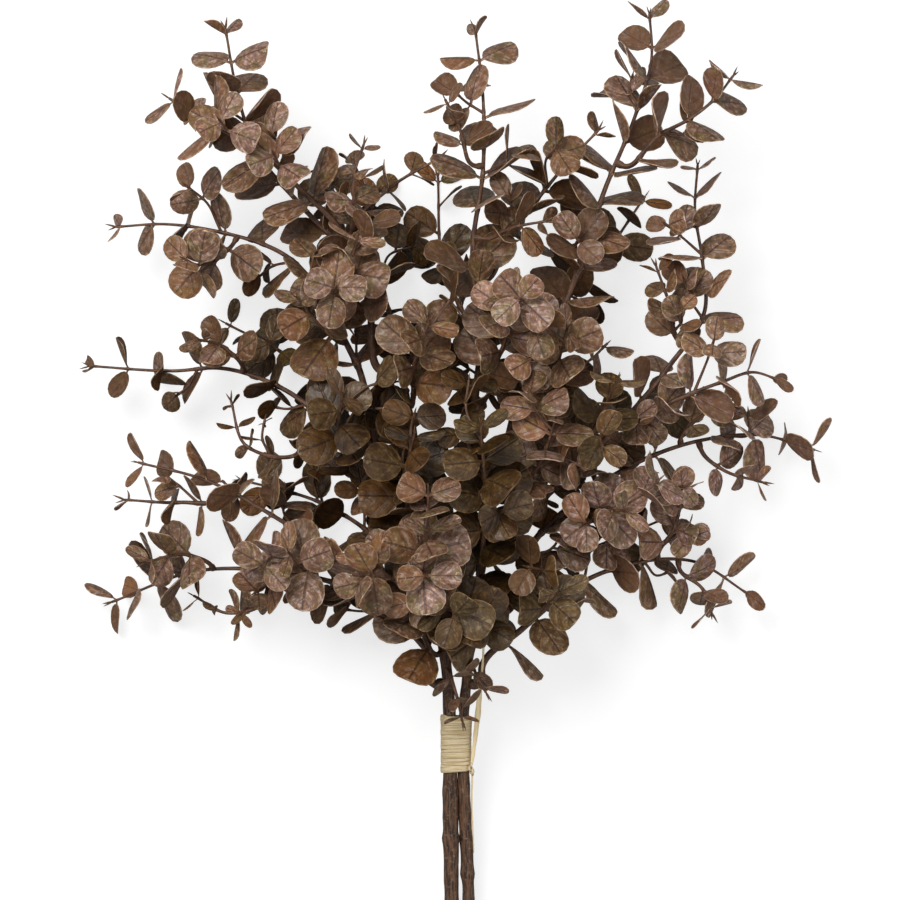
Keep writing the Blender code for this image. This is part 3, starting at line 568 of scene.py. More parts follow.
# ridges, drawn out lengthwise, push the skin out and in
drawn = add(strand, "ShaderNodeVectorMath", {0: bark, 1: (1, 1, RIDGE_STRETCH)}, operation="MULTIPLY")
fine = add(strand, "ShaderNodeMath", {0: 1.0, 1: given["Ridge width"]}, operation="DIVIDE")
ridges = add(strand, "ShaderNodeTexNoise", {"Vector": drawn, "Scale": fine, "Detail": 2.0})
height = add(strand, "ShaderNodeMath", {0: ridges, 1: 0.5}, operation="SUBTRACT")
height = add(strand, "ShaderNodeMath", {0: height, 1: given["Ridge height"]}, operation="MULTIPLY")
normal = add(strand, "GeometryNodeInputNormal")
offset = add(strand, "ShaderNodeVectorMath", {0: normal, "Scale": height}, operation="SCALE")
swept = add(strand, "GeometryNodeSetPosition", {"Geometry": swept, "Offset": offset})

# all faces of the skin have four corners, so a face with more is an end
swept = add(strand, "GeometryNodeSetMaterial", {"Geometry": swept, "Material": given["Finish"]})
corners = add(strand, "GeometryNodeInputMeshFaceNeighbors").outputs["Vertex Count"]
is_cap = add(strand, "FunctionNodeCompare", {2: corners, 3: 4}, data_type="INT", operation="GREATER_THAN")
swept = add(strand, "GeometryNodeSetMaterial", {"Geometry": swept, "Selection": is_cap,
                                                "Material": given["Cap finish"]})
add(strand, "NodeGroupOutput", {"Strand": swept})
print("strand tree:", len(strand.nodes), "nodes")


# %% [markdown]
# A guide is a mesh with points and edges only. Each point carries the values that the trees ask for, as
# named attributes. Points on a line have a thickness and a flat side, and loose points stand for leaves.

# %% A guide
LEAF_VALUES = {"blade": "INT", "tone_and_shade": "FLOAT", "olive": "FLOAT", "amber": "FLOAT", "turn": "FLOAT_VECTOR",
               "size": "FLOAT_VECTOR"}


def guide_mesh(lines, leaves=()):
    """A guide of lines, each of (place, radius, outward), and of leaf points given as dictionaries."""
    spots = [spot for one in lines for spot in one]
    edges = []
    start = 0
    for one in lines:
        edges += [(start + k, start + k + 1) for k in range(len(one) - 1)]
        start += len(one)
    carried = {  # by name: its kind, the value of each point on a line, and of each leaf point
        "thick": ("FLOAT", [radius * MM for _, radius, _ in spots], [0.0] * len(leaves)),
        "outward": ("FLOAT_VECTOR", [side for _, _, side in spots], [(0.0, 0.0, 0.0)] * len(leaves)),
        "is_leaf": ("BOOLEAN", [False] * len(spots), [True] * len(leaves)),
    }
    if leaves:
        for name, kind in LEAF_VALUES.items():
            none = (0.0, 0.0, 0.0) if kind == "FLOAT_VECTOR" else 0
            carried[name] = (kind, [none] * len(spots), [leaf[name] for leaf in leaves])
    mesh = bpy.data.meshes.new("guide")
    mesh.from_pydata([place(p) for p, _, _ in spots] + [place(leaf["foot"]) for leaf in leaves], edges, [])
    for name, (kind, on_lines, on_leaves) in carried.items():
        field, values = "value", on_lines + on_leaves
        if kind == "FLOAT_VECTOR":
            field, values = "vector", [c for value in values for c in value]
        mesh.attributes.new(name, kind, "POINT").data.foreach_set(field, values)
    return mesh


print("a leaf point carries", list(LEAF_VALUES))


# %% [markdown]
# A tree works on a guide object. This helper hangs the tree on it, sets its inputs by their identifiers,
# and keeps the result as a plain mesh under the piece's own name. The guide and its modifier are then
# thrown away. The piece becomes part of the model: it rides on the bunch's one body and stands in for its
# node, which is hidden.

# %% From guide to finished piece
def grow_piece(name, node, slot, tree, mesh, **values):
    """What the tree makes of the guide, as an object with a plain mesh that stands in for the node."""
    guide = bpy.data.objects.new("guide", mesh)
    scene.collection.objects.link(guide)
    modifier = guide.modifiers.new("grow", "NODES")
    modifier.node_group = tree
    known = {item.name: item.identifier for item in tree.interface.items_tree if item.in_out == "INPUT"}
    for title, value in values.items():
        modifier[known[title.replace("_", " ")]] = value
    graph = bpy.context.evaluated_depsgraph_get()
    result = bpy.data.meshes.new_from_object(guide.evaluated_get(graph), preserve_all_data_layers=True,
                                             depsgraph=graph)
    bpy.data.objects.remove(guide)
    bpy.data.meshes.remove(mesh)
    result.name = name
    piece = bpy.data.objects.new(name, result)
    scene.collection.objects.link(piece)
    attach(piece, "root")
    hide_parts(node)
    return piece


print("ready to grow pieces for", len(frame["nodes"]), "nodes")


# %% [markdown]
# ## The free ends of the raffia
# The knot leaves two ends of raffia, one up into the leaves and one down along a stem. They are short, dry
# and springy, so they hardly hang. Each is a flat ribbon, split from the same strip, and is really cut off
# bare.

# %% Raffia ends
RIBBON = {  # half the width in mm, the thickness as a share of it, and how much wider the widest place is
    "raffia_tail_up": (0.70, 0.36, 0.8),
    "raffia_tail_down": (0.42, 0.5, 0.0),
}
RIBBON_STEP = 1.0
RIBBON_TWIST = 1.4  # radians from the knot to the end
WAVINESS = 0.06
WIDEST_PLACE, WIDEST_REACH = 0.28, 0.14  # shares of the length
CORD_STEPS = 24


def ribbon_line(axis, half, wider):
    """Guide points along an axis. The flat side looks up at first and turns slowly."""
    count = round(axis.length / RIBBON_STEP)
    found = []
    for i in range(count + 1):
        point, tangent, _, _ = axis.at(axis.length * i / count)
        side = (Vector((0, 0, 1)) - tangent * tangent.z).normalized()
        side = Matrix.Rotation(RIBBON_TWIST * i / count, 3, tangent) @ side
        ends = min(1.0, 0.75 + 0.1 * i, 0.45 + 0.5 * (count - i))
        spread = 1 + wider * math.exp(-((i / count - WIDEST_PLACE) / WIDEST_REACH) ** 2)
        found.append((point, half * ends * spread * (1 + WAVINESS * math.sin(0.7 * i)), side))
    return found


for name, (radius, route) in TAILS.items():
    axis = Axis(name, route, radius, radius)
    half, flatness, wider = RIBBON[name]
    guide = guide_mesh([ribbon_line(axis, half, wider)])
    ribbon = grow_piece(name + "_ribbon", name, "raffia", strand, guide, Sides=8, Flatness=flatness,
                        Ridge_height=0.00012, Ridge_width=0.0004, Finish=raffia_painted_glow,
                        Cap_finish=raffia_painted_glow)
    centres = [tuple(place(axis.at(axis.length * i / CORD_STEPS)[0])) for i in range(CORD_STEPS + 1)]
    print(ribbon.name, round(axis.length, 1), "mm long,", len(ribbon.data.polygons), "faces")


# %% [markdown]
# A leaf is planned as a foot, a direction, a width across and the side it shows, so that the pieces made
# later only have to put a blade there.

# %% A leaf
class Leaf:
    """A blade on its petiole, in a plane."""

    def __init__(self, node, foot, direction, across, length, width, pressed=False):
        self.node = node
        self.pressed = pressed
        self.foot = foot
        self.direction = direction
        self.across = across
        self.normal = direction.cross(across)
        self.length = length
        self.width = width

    def point(self, along, aside, up=0.0):
        """A point given as shares of the length and half width, and a height above the blade."""
        return (self.foot + self.direction * self.length * along
                + self.across * self.width / 2 * aside + self.normal * up)

    def edge(self):
        """The stations of the edge, as (share of the length, share of the half width)."""
        if self.length > SMALL_LEAF:
            return [(0.40, 0.92), (0.80, 0.78)]
        return [(0.56, 1.0)]

    def shape(self, grow=0.0, whole=True):
        """A flat plate that holds the leaf, or only its blade."""
        up = LEAF_THICK / 2 + grow
        wide = 2 * grow / self.width
        rings = []
        for along, aside in [(0.0, 0.1) if whole else (0.18, 0.4)] + self.edge():
            x = aside + wide
            rings.append([self.point(along, a, b) for a, b in ((-x, -up), (x, -up), (x, up), (-x, up))])
        return Shape(self.node, rings, self.tip(grow))

    def tip(self, grow=0.0):
        return self.foot + self.direction * (self.length + grow)


print("a full leaf is", LEAF_LENGTH, "mm long and", [round(LEAF_LENGTH * w, 1) for w in OVAL], "mm wide")


# %% [markdown]
# Leaves and twigs grow into free space. Each one is held by a simple closed shape, and a new piece is moved
# until its shape meets none of the others. A bounding-volume tree answers that quickly.

# %% Shapes that keep clear of each other
class Shape:
    """A closed shape through rings of four corners, that can tell whether it meets another."""

    def __init__(self, node, rings, tip=None):
        self.node = node
        points = [p for ring in rings for p in ring]
        faces = [(3, 2, 1, 0)]
        for i in range(0, len(points) - 4, 4):
            faces += [(i + k, i + (k + 1) % 4, i + 4 + (k + 1) % 4, i + 4 + k) for k in range(4)]
        last = len(points) - 4
        if tip is None:
            faces.append((last, last + 1, last + 2, last + 3))
        else:
            points.append(tip)
            faces += [(last + k, last + (k + 1) % 4, last + 4) for k in range(4)]
        self.tree = BVHTree.FromPolygons(points, faces)
        self.middle = sum(points, Vector()) / len(points)
        self.reach = max((p - self.middle).length for p in points)
        self.lowest = min(p.z for p in points)

    def meets(self, other):
        near = (self.middle - other.middle).length < self.reach + other.reach
        return near and bool(self.tree.overlap(other.tree))


class Crowd(list):
    """The shapes in place, which the next piece is kept clear of."""

    def free(self, shape, nodes=()):
        """Whether a shape meets none of the others, leaving out those of some nodes."""
        return not any(other.node not in nodes and shape.meets(other) for other in self)


print("room kept between pieces:", GAP, "mm")


# %% [markdown]
# A spray starts square to its parent in a small collar, then curves to its tip. Where its route would run
# through another spray, it is bent a little more at each attempt, as a springy twig gives way.

# %% A spray's axis
SCATTER = 0.5  # how much farther a point of the route may be moved at each attempt
LYING_SCATTER = 0.4  # the share of that for a point on the surface


def seated(parent, route):
    """A spray's route from the nearest point of its parent, clear by GAP, the way it starts and its seat."""
    route = [Vector(p) for p in route]
    k = min(range(2, len(parent.line) - 2), key=lambda i: (parent.line[i] - route[0]).length)
    point, tangent, _, parent_radius = parent.at(k * parent.step)
    away = route[1] - point
    away = (away - tangent * away.dot(tangent)).normalized()
    foot = point + away * (parent_radius + GAP)
    lead = foot + away * (COLLAR + 1.0)
    return [foot, lead] + route[1:], away, k * parent.step


def grow_spray(name, parent, route, crowd, draw):
    """A spray's axis, moved a little more at each attempt until it clears the others."""
    route = [Vector(p) for p in route]
    far = sum((b - a).length for a, b in zip(route, route[1:]))
    for attempt in range(ATTEMPTS):
        moved = [route[0]]
        for p in route[1:]:
            bump = Vector([draw.uniform(-SCATTER, SCATTER) * attempt for _ in range(3)])
            if p.z <= FLAT_BELOW:
                bump = Vector((bump.x, bump.y, 0)) * LYING_SCATTER
            moved.append(p + bump)
        points, away, seat = seated(parent, moved)
        axis = Axis(name, points, TWIG + TWIG_GROWTH * far, TWIG_TIP, start=away, collar=True)
        clear_of_parent = crowd.free(axis.shape(GAP, start=COLLAR + 2.0))
        if clear_of_parent and crowd.free(axis.shape(GAP), (parent.node,)):
            break
    axis.turn(draw.uniform(0, math.tau))
    parent.seats.append(seat)
    crowd.append(axis.shape())
    return axis


print("a spray's route is tried up to", ATTEMPTS, "times")


# %% [markdown]
# A twig carries leaves in crossed pairs, smaller and closer together towards the tip, and here and there a
# thin side stalk with a few more.

# %% Pairs and side stalks
LAST_GAP = 2.2  # from the last pair of leaves to the tip
STALK_LEAN = (38, 62)  # degrees between a side stalk and its twig
STALK_ROOT = 3.5  # the stretch of a stalk that may touch its own twig


def stations_of(axis, gap, bare):
    """Distances along the axis where leaves are borne, from the tip back, with a growth share for each."""
    s = axis.length - LAST_GAP
    found = []
    while s > bare:
        share = min(1.0, FIRST_PAIR + PAIR_GROWTH * len(found))
        if all(abs(s - seat) > SEAT_ROOM for seat in axis.seats):
            found.append((s, share))
        s -= gap * (0.55 + 0.45 * share)  # pairs stand closer together towards the tip
    return found


def grow_stalk(axis, s, face, length, crowd, draw):
    """A thin side stalk that leaves the twig in a curve, or None where there is no room."""
    point, tangent, _, radius = axis.at(s)
    out = axis.outward(s, face)
    foot = point + out * radius * 0.6
    for _ in range(ATTEMPTS // 3):
        lean = math.radians(draw.uniform(*STALK_LEAN))
        first = (tangent * math.cos(lean) + out * math.sin(lean)).normalized()
        bend = Vector((draw.uniform(-1, 1), draw.uniform(-1, 1), draw.uniform(-0.4, 1)))
        middle = foot + first * length * 0.5
        end = middle + (first * 0.6 + bend * 0.55).normalized() * length * 0.5
        route = [foot, foot + first * 2.5, middle, end]
        stalk = Axis(axis.node, route, STALK, STALK_TIP, side=-tangent)
        if stalk.shape(GAP).lowest < FLOOR or not crowd.free(stalk.shape(GAP), (axis.node,)):
            continue
        if crowd.free(stalk.shape(GAP, start=STALK_ROOT)):
            crowd.append(stalk.shape(start=2.0))
            return stalk
    return None


print("pairs stand", DENSE, "mm apart or less on a dense spray")


# %% [markdown]
# A leaf leans out from its twig and rolls part of the way round to face up, as boxwood leaves do on a lying
# branch. It is tried at other angles and a little smaller until it has room. A leaf of the lowest sprays is
# laid flat on the table instead.

# %% Leaves with room round them
LEAF_LEAN = 64  # degrees between a leaf and its twig
LEAN_RANGE = 12  # and how far that may be off
LEAF_SIZES = (0.9, 1.08)
SHRINK = 0.02  # the share that a leaf loses at each attempt
MOST_ROLL = 0.9  # radians
ROLL_RANGE = 0.3
FACING = (0.1, 0.95)  # how far a leaf rolls round to look up, as a share of the whole way
ROUND_FACING = (0.3, 1.0)


def grow_leaf(axis, s, face, length, shape, crowd, draw):
    """A leaf that clears everything in place, or None."""
    point, tangent, _, radius = axis.at(s)
    out = axis.outward(s, face)
    foot = point + out * radius * 0.7
    flat = point.z < FLAT_BELOW and abs(out.z) < 0.75
    for attempt in range(ATTEMPTS // 2):
        loose = 1.0 + 0.1 * attempt
        lean = math.radians(LEAF_LEAN + draw.uniform(-LEAN_RANGE, LEAN_RANGE) * loose)
        size = length * draw.uniform(*LEAF_SIZES) * (1 - SHRINK * attempt)
        direction = (tangent * math.cos(lean) + out * math.sin(lean)).normalized()
        across = tangent.cross(out)
        if flat:
            direction = Vector((direction.x, direction.y, 0)).normalized()
            across = Vector((0, 0, 1)).cross(direction)
            foot = Vector((foot.x, foot.y, LEAF_THICK / 2))
        else:
            upright = math.atan2(across.z, direction.cross(across).z)
            facing = draw.uniform(*(ROUND_FACING if shape is ROUND else FACING))
            roll = max(-MOST_ROLL, min(MOST_ROLL, upright)) * facing
            roll += draw.uniform(-ROLL_RANGE, ROLL_RANGE) * loose
            across = Matrix.Rotation(-roll, 3, direction) @ across
        leaf = Leaf(axis.node, foot, direction, across, size, size * draw.uniform(*shape), flat)
        if not flat and leaf.shape(GAP).lowest < FLOOR:
            continue
        if crowd.free(leaf.shape(GAP, whole=False)) and crowd.free(leaf.shape(GAP), (axis.node,)):
            crowd.append(leaf.shape())
            return leaf
    return None


print("a leaf leans out by", LEAF_LEAN - LEAN_RANGE, "to", LEAF_LEAN + LEAN_RANGE, "degrees at first")


# %% [markdown]
# The stems, the raffia and the sprays' axes come first, then the leaves from the highest to the lowest, so
# that the ones on show get the best room.

# %% The whole bunch
STEM_ROOM = 0.4  # how far leaves keep off a stem, as a share of its radius at the cut
BARE = 4.0  # the stretch beyond its collar where a spray bears no leaf
BARE_SHARE = 0.1  # or this share of a long spray
STALK_GAP = 8.0  # between the pairs of a side stalk
STALK_BARE = 5.0
STALK_PAIRS = 2


def where(axis, y):
    """The point and radius of a stem where it passes y."""
    k = min(range(len(axis.line)), key=lambda i: abs(axis.line[i].y - y))
    point, _, _, radius = axis.at(k * axis.step)
    return point, radius


def tie_shape(axes):
    """A box round the winding, which the leaves are kept clear of."""
    rings = []
    for y in TIE_ENDS:
        (left, a), (right, b) = (where(axes[name], y) for name in STEMS)
        low, high = left.z - a - TIE_ROOM, left.z + a + TIE_ROOM
        x0, x1 = left.x - a - TIE_ROOM, right.x + b + TIE_ROOM
        rings.append([Vector(c) for c in ((x0, y, low), (x1, y, low), (x1, y, high), (x0, y, high))])
    return Shape("raffia_tie", rings)


def plan():
    """Every axis of the bunch by name, with its stalks and leaves in place."""
    draw = random.Random(SEED)
    crowd = Crowd()
    axes = {}
    for name, (foot, top, route) in STEMS.items():
        axes[name] = Axis(name, route, foot, top)
        crowd.append(axes[name].shape(foot * STEM_ROOM))
    for name, (radius, route) in TAILS.items():
        axes[name] = Axis(name, route, radius, radius)
        crowd.append(axes[name].shape(GAP))
    crowd.append(tie_shape(axes))
    for name, parent, _, _, route in SPRAYS:
        axes[name] = grow_spray(name, axes[parent], route, crowd, draw)
    wanted = []
    for name, _, size, gap, _ in SPRAYS:
        axis = axes[name]
        shape = SLIM if size <= SLIM_SIZE else ROUND if gap < DENSE else OVAL
        bare = COLLAR + max(BARE, BARE_SHARE * axis.length)
        for i, (s, share) in enumerate(stations_of(axis, gap, bare)):
            form = shape if i else SLIM
            wanted += [(axis, s, face, LEAF_LENGTH * size * share, form) for face in PAIRS[i % 2]]
            if i in (DENSE_STALKS if gap < DENSE else OPEN_STALKS):
                bud = s + 1.6 * STATION
                face = PAIRS[i % 2][draw.randrange(2)]
                stalk = grow_stalk(axis, bud, face, draw.uniform(*STALK_LENGTH), crowd, draw)
                if stalk:
                    axis.stalks.append((bud, face, stalk))
                    for j, (t, part) in enumerate(stations_of(stalk, STALK_GAP, STALK_BARE)[:STALK_PAIRS]):
                        wanted += [(stalk, t, f, LEAF_LENGTH * size * part, shape) for f in PAIRS[j]]
    wanted.sort(key=lambda w: -w[0].at(w[1])[0].z)
    for axis, s, face, length, shape in wanted:
        leaf = grow_leaf(axis, s, face, length, shape, crowd, draw)
        if leaf:
            axis.leaves.append((s, face, leaf))
    return axes


axes = plan()
leaf_total = sum(len(a.leaves) + sum(len(stalk.leaves) for _, _, stalk in a.stalks) for a in axes.values())
print(leaf_total, "leaves,", sum(len(a.stalks) for a in axes.values()), "side stalks")


# %% [markdown]
# Boxwood bears oval leaves, rounded at the tip, that narrow into a short stalk. One blade can be drawn on a
# small grid: rows run from the stalk to the tip, spaced so that the outline turns evenly, and columns run
# across, four on the upper skin and two on the lower. A narrow band joins the two skins round the rim, so
# the blade is a thin closed shell, and its borders are marked sharp to keep the rim crisp. No two leaves
# curl alike, so there is a handful of blades with their own cup, fold, curl and twist. Each is one unit
# long and two wide, and is stretched to its leaf's size when it is placed. The map holds the share across
# and along, and the lower skin's is two further on, so that a finish can tell the sides.

# %% Blades
BLADES = 12
BLADE_SEED = 5
ROWS = 8  # from the foot of the blade to its tip
UPPER_COLUMNS = (-1, -0.5, 0, 0.5, 1)
LOWER_COLUMNS = (-1, 0, 1)
STALK_SHARE = 0.09  # of the leaf's length
STALK_HALF = 0.10  # half width of the leaf's stalk, as a share of half the leaf's width
SKIN = 0.014  # half thickness that the midrib adds, as a share of the length
RIM = 0.009  # half thickness at the rim
RIPPLES = 5.5  # radians of the wave from the foot to the tip
LOWER_SIDE = 2.0  # how far the lower skin is moved on the map


def blade_outline(widest, blunt):
    """Rows as (share of the length, share of the half width), from the twig to the tip."""
    rows = [(0.0, STALK_HALF), (STALK_SHARE, STALK_HALF)]
    for i in range(1, ROWS + 1):
        t = (1 - math.cos(math.pi * i / ROWS)) / 2
        half = max(0.0, 1 - abs(2 * t ** widest - 1) ** blunt) ** (1 / blunt)
        rows.append((STALK_SHARE + (1 - STALK_SHARE) * t, half))
    return rows


def mapped_mesh(name, points, faces, maps):
    """A smooth mesh with a place on the map for each corner of its faces, whose object joins the blades."""
    mesh = bpy.data.meshes.new(name)
    mesh.from_pydata(points, [], faces)
    mesh.update()
    mesh.shade_smooth()
    layer = mesh.uv_layers.new(name="UVMap")
    for loop, uv in zip(layer.data, maps):
        loop.uv = uv
    blades.objects.link(bpy.data.objects.new(name, mesh))
    return mesh


def make_blade(name, widest, blunt, cup, fold, curl, twist, wave, phase):
    """One closed blade, along X from 0 to 1 and across Y from -1 to 1."""
    points, faces, maps = [], [], []
    rows = blade_outline(widest, blunt)
    skins = []
    for side, columns in ((1, UPPER_COLUMNS), (-1, LOWER_COLUMNS)):
        skin = []
        for t, half in rows[:-1]:
            grown = max(0.0, (t - STALK_SHARE) / (1 - STALK_SHARE))
            skin.append(list(range(len(points), len(points) + len(columns))))
            for a in columns:
                lift = fold * abs(a) * half - cup * (a * half) ** 2 * grown ** 0.5 - curl * grown ** 2
                lift += wave * math.sin(RIPPLES * t + phase) * a * half + twist * grown * a * half
                lift += side * (RIM + SKIN * (1 - a * a) * (1.25 - 0.9 * t))
                points.append((t, a * half, lift))
        skin.append([len(points)] * len(columns))
        points.append((1.0, 0.0, side * RIM - curl))
        skins.append(skin)
    for side, columns in enumerate((UPPER_COLUMNS, LOWER_COLUMNS)):
        for i in range(len(rows) - 1):
            for k in range(len(columns) - 1):
                quad = [(i, k), (i + 1, k), (i + 1, k + 1), (i, k + 1)]
                if i == len(rows) - 2:
                    quad.pop(2)
                if side:
                    quad.reverse()
                faces.append([skins[side][r][c] for r, c in quad])
                maps += [((columns[c] + 1) / 2 + LOWER_SIDE * side, rows[r][0]) for r, c in quad]
    upper, lower = skins
    skin_faces = len(faces)
    for end, turned in ((0, False), (-1, True)):
        for i in range(len(rows) - 1):
            band = [upper[i][end], lower[i][end], lower[i + 1][end], upper[i + 1][end]]
            faces.append(band[::-1] if turned else band)
            maps += [(1.0, rows[i][0])] * 4
    foot = upper[0] + lower[0][::-1]
    faces.append(foot)
    maps += [(0.5, 0.0)] * len(foot)
    mesh = mapped_mesh(name, points, faces, maps)
    rims = {key for face in mesh.polygons[skin_faces:] for key in face.edge_keys}
    for edge in mesh.edges:
        edge.use_edge_sharp = edge.key in rims


blades = bpy.data.collections.new("blades")
pick = random.Random(BLADE_SEED).uniform
for i in range(BLADES):
    flat = 1.0 if i else -0.2  # the first leaf is pressed on the table, with its rim raised a little
    make_blade(f"blade_{i:02d}", widest=pick(1.0, 1.2), blunt=pick(2.0, 2.3), cup=flat * pick(0.08, 0.20),
               fold=flat * pick(-0.03, 0.04), curl=flat * pick(0.0, 0.18), twist=flat * pick(-0.06, 0.06),
               wave=flat * pick(0.005, 0.025), phase=pick(0, math.tau))

# %% [markdown]
# A twig ends in a bud: two narrow pointed scales that part in a V, or one alone. Each scale is a slim
# four-sided spike, and the buds join the blades as two more shapes to place.

# %% Bud spikes
def make_bud(number, *scales):
    """A bud along X, of spikes that are each given as a lean, a length and a half width."""
    points, faces = [], []
    for lean, length, half in scales:
        first = len(points)
        for x, w in ((0.0, 0.6), (0.3, 1.0), (0.7, 0.6)):
            for k in range(4):
                angle = (k + 0.5) * math.pi / 2
                points.append((x * length, lean * x + w * half * math.cos(angle), w * half * math.sin(angle)))
        points.append((length, lean, 0.0))
        for ring in (0, 4):
            for k in range(4):
                a, b = first + ring + k, first + ring + (k + 1) % 4
                faces.append((b, b + 4, a + 4, a))
        faces += [(first + 8 + k, first + 8 + (k + 1) % 4, first + 12) for k in range(4)]
        faces.append(tuple(first + k for k in (3, 2, 1, 0)))
    corners = sum(len(face) for face in faces)
    mapped_mesh(f"blade_{number:02d}", points, faces, [(LOWER_SIDE + 0.7, 0.5)] * corners)


FORKED_BUD, SINGLE_BUD = BLADES, BLADES + 1
make_bud(FORKED_BUD, (0.35, 1.0, 0.10), (-0.30, 0.8, 0.09))
make_bud(SINGLE_BUD, (0.05, 1.0, 0.12))


# %% [markdown]
# ## The preserved leaf
# A boxwood leaf dried in glycerine keeps its leathery skin, with a soft gloss, and turns from green to a
# greyish cocoa brown. Everything on it is drawn by nodes. Clouds, painted glints (small pale highlights)
# and patches are noise of a few millimetres in the room, while veins, streaks and rim come from the leaf's
# own map, which also tells the upper side from the lower.

# %% Preserved boxwood leaf
LEAF_IOR = 1.45  # a waxy skin
LEAF_SHINE = 0.34  # most of the wax has dried dull
CLOUD_MM = 2.4  # size of the clouds in the dye
GLINT_MM = 1.1  # painted glints: small pale highlights, this wide
PATCH_MM = 7.0  # patches that stayed olive

leaf_paint, tree = new_paint("preserved_boxwood_leaf")
here = add(tree, "ShaderNodeTexCoord").outputs["Object"]
skin_map = add(tree, "ShaderNodeSeparateXYZ", {0: add(tree, "ShaderNodeUVMap", uv_map="UVMap")}).outputs
tone_and_shade, olive, amber = (add(tree, "ShaderNodeAttribute", attribute_name=name).outputs["Fac"]
                      for name in ("tone_and_shade", "olive", "amber"))
clouds, glint_noise, broad = (
    add(tree, "ShaderNodeTexNoise", {"Vector": here, "Scale": 1 / (width * MM), "Detail": detail,
                                     "Roughness": roughness})
    for width, detail, roughness in ((CLOUD_MM, 4.0, 0.62), (GLINT_MM, 3.0, 0.5), (PATCH_MM, 1.0, 0.5)))

# which side this is, and how far from the midrib (0) towards the rim (1)
below = add(tree, "ShaderNodeMath", {0: skin_map["X"], 1: 1.5}, operation="GREATER_THAN")
across = add(tree, "ShaderNodeMath", {0: below, 1: -LOWER_SIDE, 2: skin_map["X"]}, operation="MULTIPLY_ADD")
aside = add(tree, "ShaderNodeMath", {0: across, 1: 2.0, 2: -1.0}, operation="MULTIPLY_ADD")
aside = add(tree, "ShaderNodeMath", {0: aside}, operation="ABSOLUTE")
print("leaf finish: clouds", CLOUD_MM, "mm, flecks", GLINT_MM, "mm, patches", PATCH_MM, "mm")

# %% [markdown]
# The midrib runs down the middle, and the side veins leave it in arches and fade towards the rim. They are
# lines on which the place along the leaf, less a bend of the share across, stays the same. The dye dried in
# fine streaks beside them, which are noise stretched along the same arches.

# %% Veins and streaks
VEIN_PAIRS = 5.0
VEIN_ARCH = 0.42  # how far a side vein runs towards the tip, as a share of the leaf's length
VEIN_CURVE = 1.4  # a straight vein would have 1
VEIN_WOBBLE = 0.10
STREAKS = 11.0  # along a leaf
STREAK_LENGTHS = 1.9  # from the midrib to the rim
STREAK_CHANGE = 9.0  # how much the streaks change from one place in the bunch to the next
STREAK_SHARE = 0.4  # of the dye's pattern; clouds make up the rest

bend = add(tree, "ShaderNodeMath", {0: aside, 1: VEIN_CURVE}, operation="POWER")
bend = add(tree, "ShaderNodeMath", {0: bend, 1: -VEIN_ARCH, 2: skin_map["Y"]}, operation="MULTIPLY_ADD")
bend = add(tree, "ShaderNodeMath", {0: clouds, 1: VEIN_WOBBLE, 2: bend}, operation="MULTIPLY_ADD")
wavy = add(tree, "ShaderNodeMath", {0: bend, 1: VEIN_PAIRS}, operation="MULTIPLY")
wavy = add(tree, "ShaderNodeMath", {0: wavy, 1: 1.0}, operation="PINGPONG")
side_vein, midrib = (
    add(tree, "ShaderNodeMapRange", {"Value": away, "From Min": edge, "From Max": heart},
        interpolation_type="SMOOTHSTEP")
    for away, edge, heart in ((wavy, 0.16, 0.0), (aside, 0.09, 0.02)))
fading = add(tree, "ShaderNodeMapRange", {"Value": aside, "From Min": 0.45, "From Max": 0.95, "To Min": 0.8,
                                          "To Max": 0.0})
side_vein = add(tree, "ShaderNodeMath", {0: side_vein, 1: fading}, operation="MULTIPLY")
veins = add(tree, "ShaderNodeMath", {0: side_vein, 1: midrib}, operation="MAXIMUM")

# the third direction is the broad noise, so that no two leaves are streaked alike
streak_place = add(tree, "ShaderNodeCombineXYZ")
for axis_name, part, times in (("X", bend, STREAKS), ("Y", aside, STREAK_LENGTHS),
                               ("Z", broad, STREAK_CHANGE)):
    part = add(tree, "ShaderNodeMath", {0: part, 1: times}, operation="MULTIPLY")
    tree.links.new(part.outputs[0], streak_place.inputs[axis_name])
streaks = add(tree, "ShaderNodeTexNoise", {"Vector": streak_place, "Scale": 1.0, "Detail": 3.0,
                                           "Roughness": 0.6})
dye_depth = add(tree, "ShaderNodeMix", {"Factor": STREAK_SHARE, "A": clouds.outputs[0],
                                        "B": streaks.outputs[0]})
print(VEIN_PAIRS, "pairs of side veins,", STREAKS, "streaks")

# %% [markdown]
# The dye is brown, streaked and clouded from dark to pale. Broad patches stay olive, most of all deep in the
# bunch, and a few thin leaves are amber, which deep in the bunch is painted light shining through them.
# Veins are darker on top, the lower side is a plain dark brown, painted glints (pale highlights) lie on both,
# and the rim is worn pale, more in some places than in others. Each of these is mixed over what lies below
# it.

# %% Dye, flecks and rim
UPPER_VEINS = 0.75  # how strongly veins show on the upper side
LOWER_VEINS = 0.35
LOWER_BROWN = 0.62  # how far the lower side is one plain brown
LOWER_GLINTS = 0.25  # painted glints on the lower side, as a share of those on the upper
RIM_TIP = 0.95  # the rim's band turns round the tip from here on
RIM_RISE, RIM_LEVEL = 6.0, 0.80

brown, green = (
    add(tree, "ShaderNodeValToRGB", {"Fac": dye_depth}, stops=((0.28, dark), (0.74, pale), (spot, middle)))
    for dark, pale, spot, middle in (("#422b1e", "#cbb09c", 0.50, "#7c5a46"),
                                     ("#342915", "#a58f59", 0.52, "#63522a")))
patches = add(tree, "ShaderNodeMapRange", {"Value": broad, "From Min": 0.46, "From Max": 0.64,
                                           "To Max": 0.70})
greenness = add(tree, "ShaderNodeMath", {0: olive, 1: patches}, operation="MAXIMUM")
dye = add(tree, "ShaderNodeMix", {"Factor": greenness, 6: brown, 7: green}, data_type="RGBA").outputs[2]

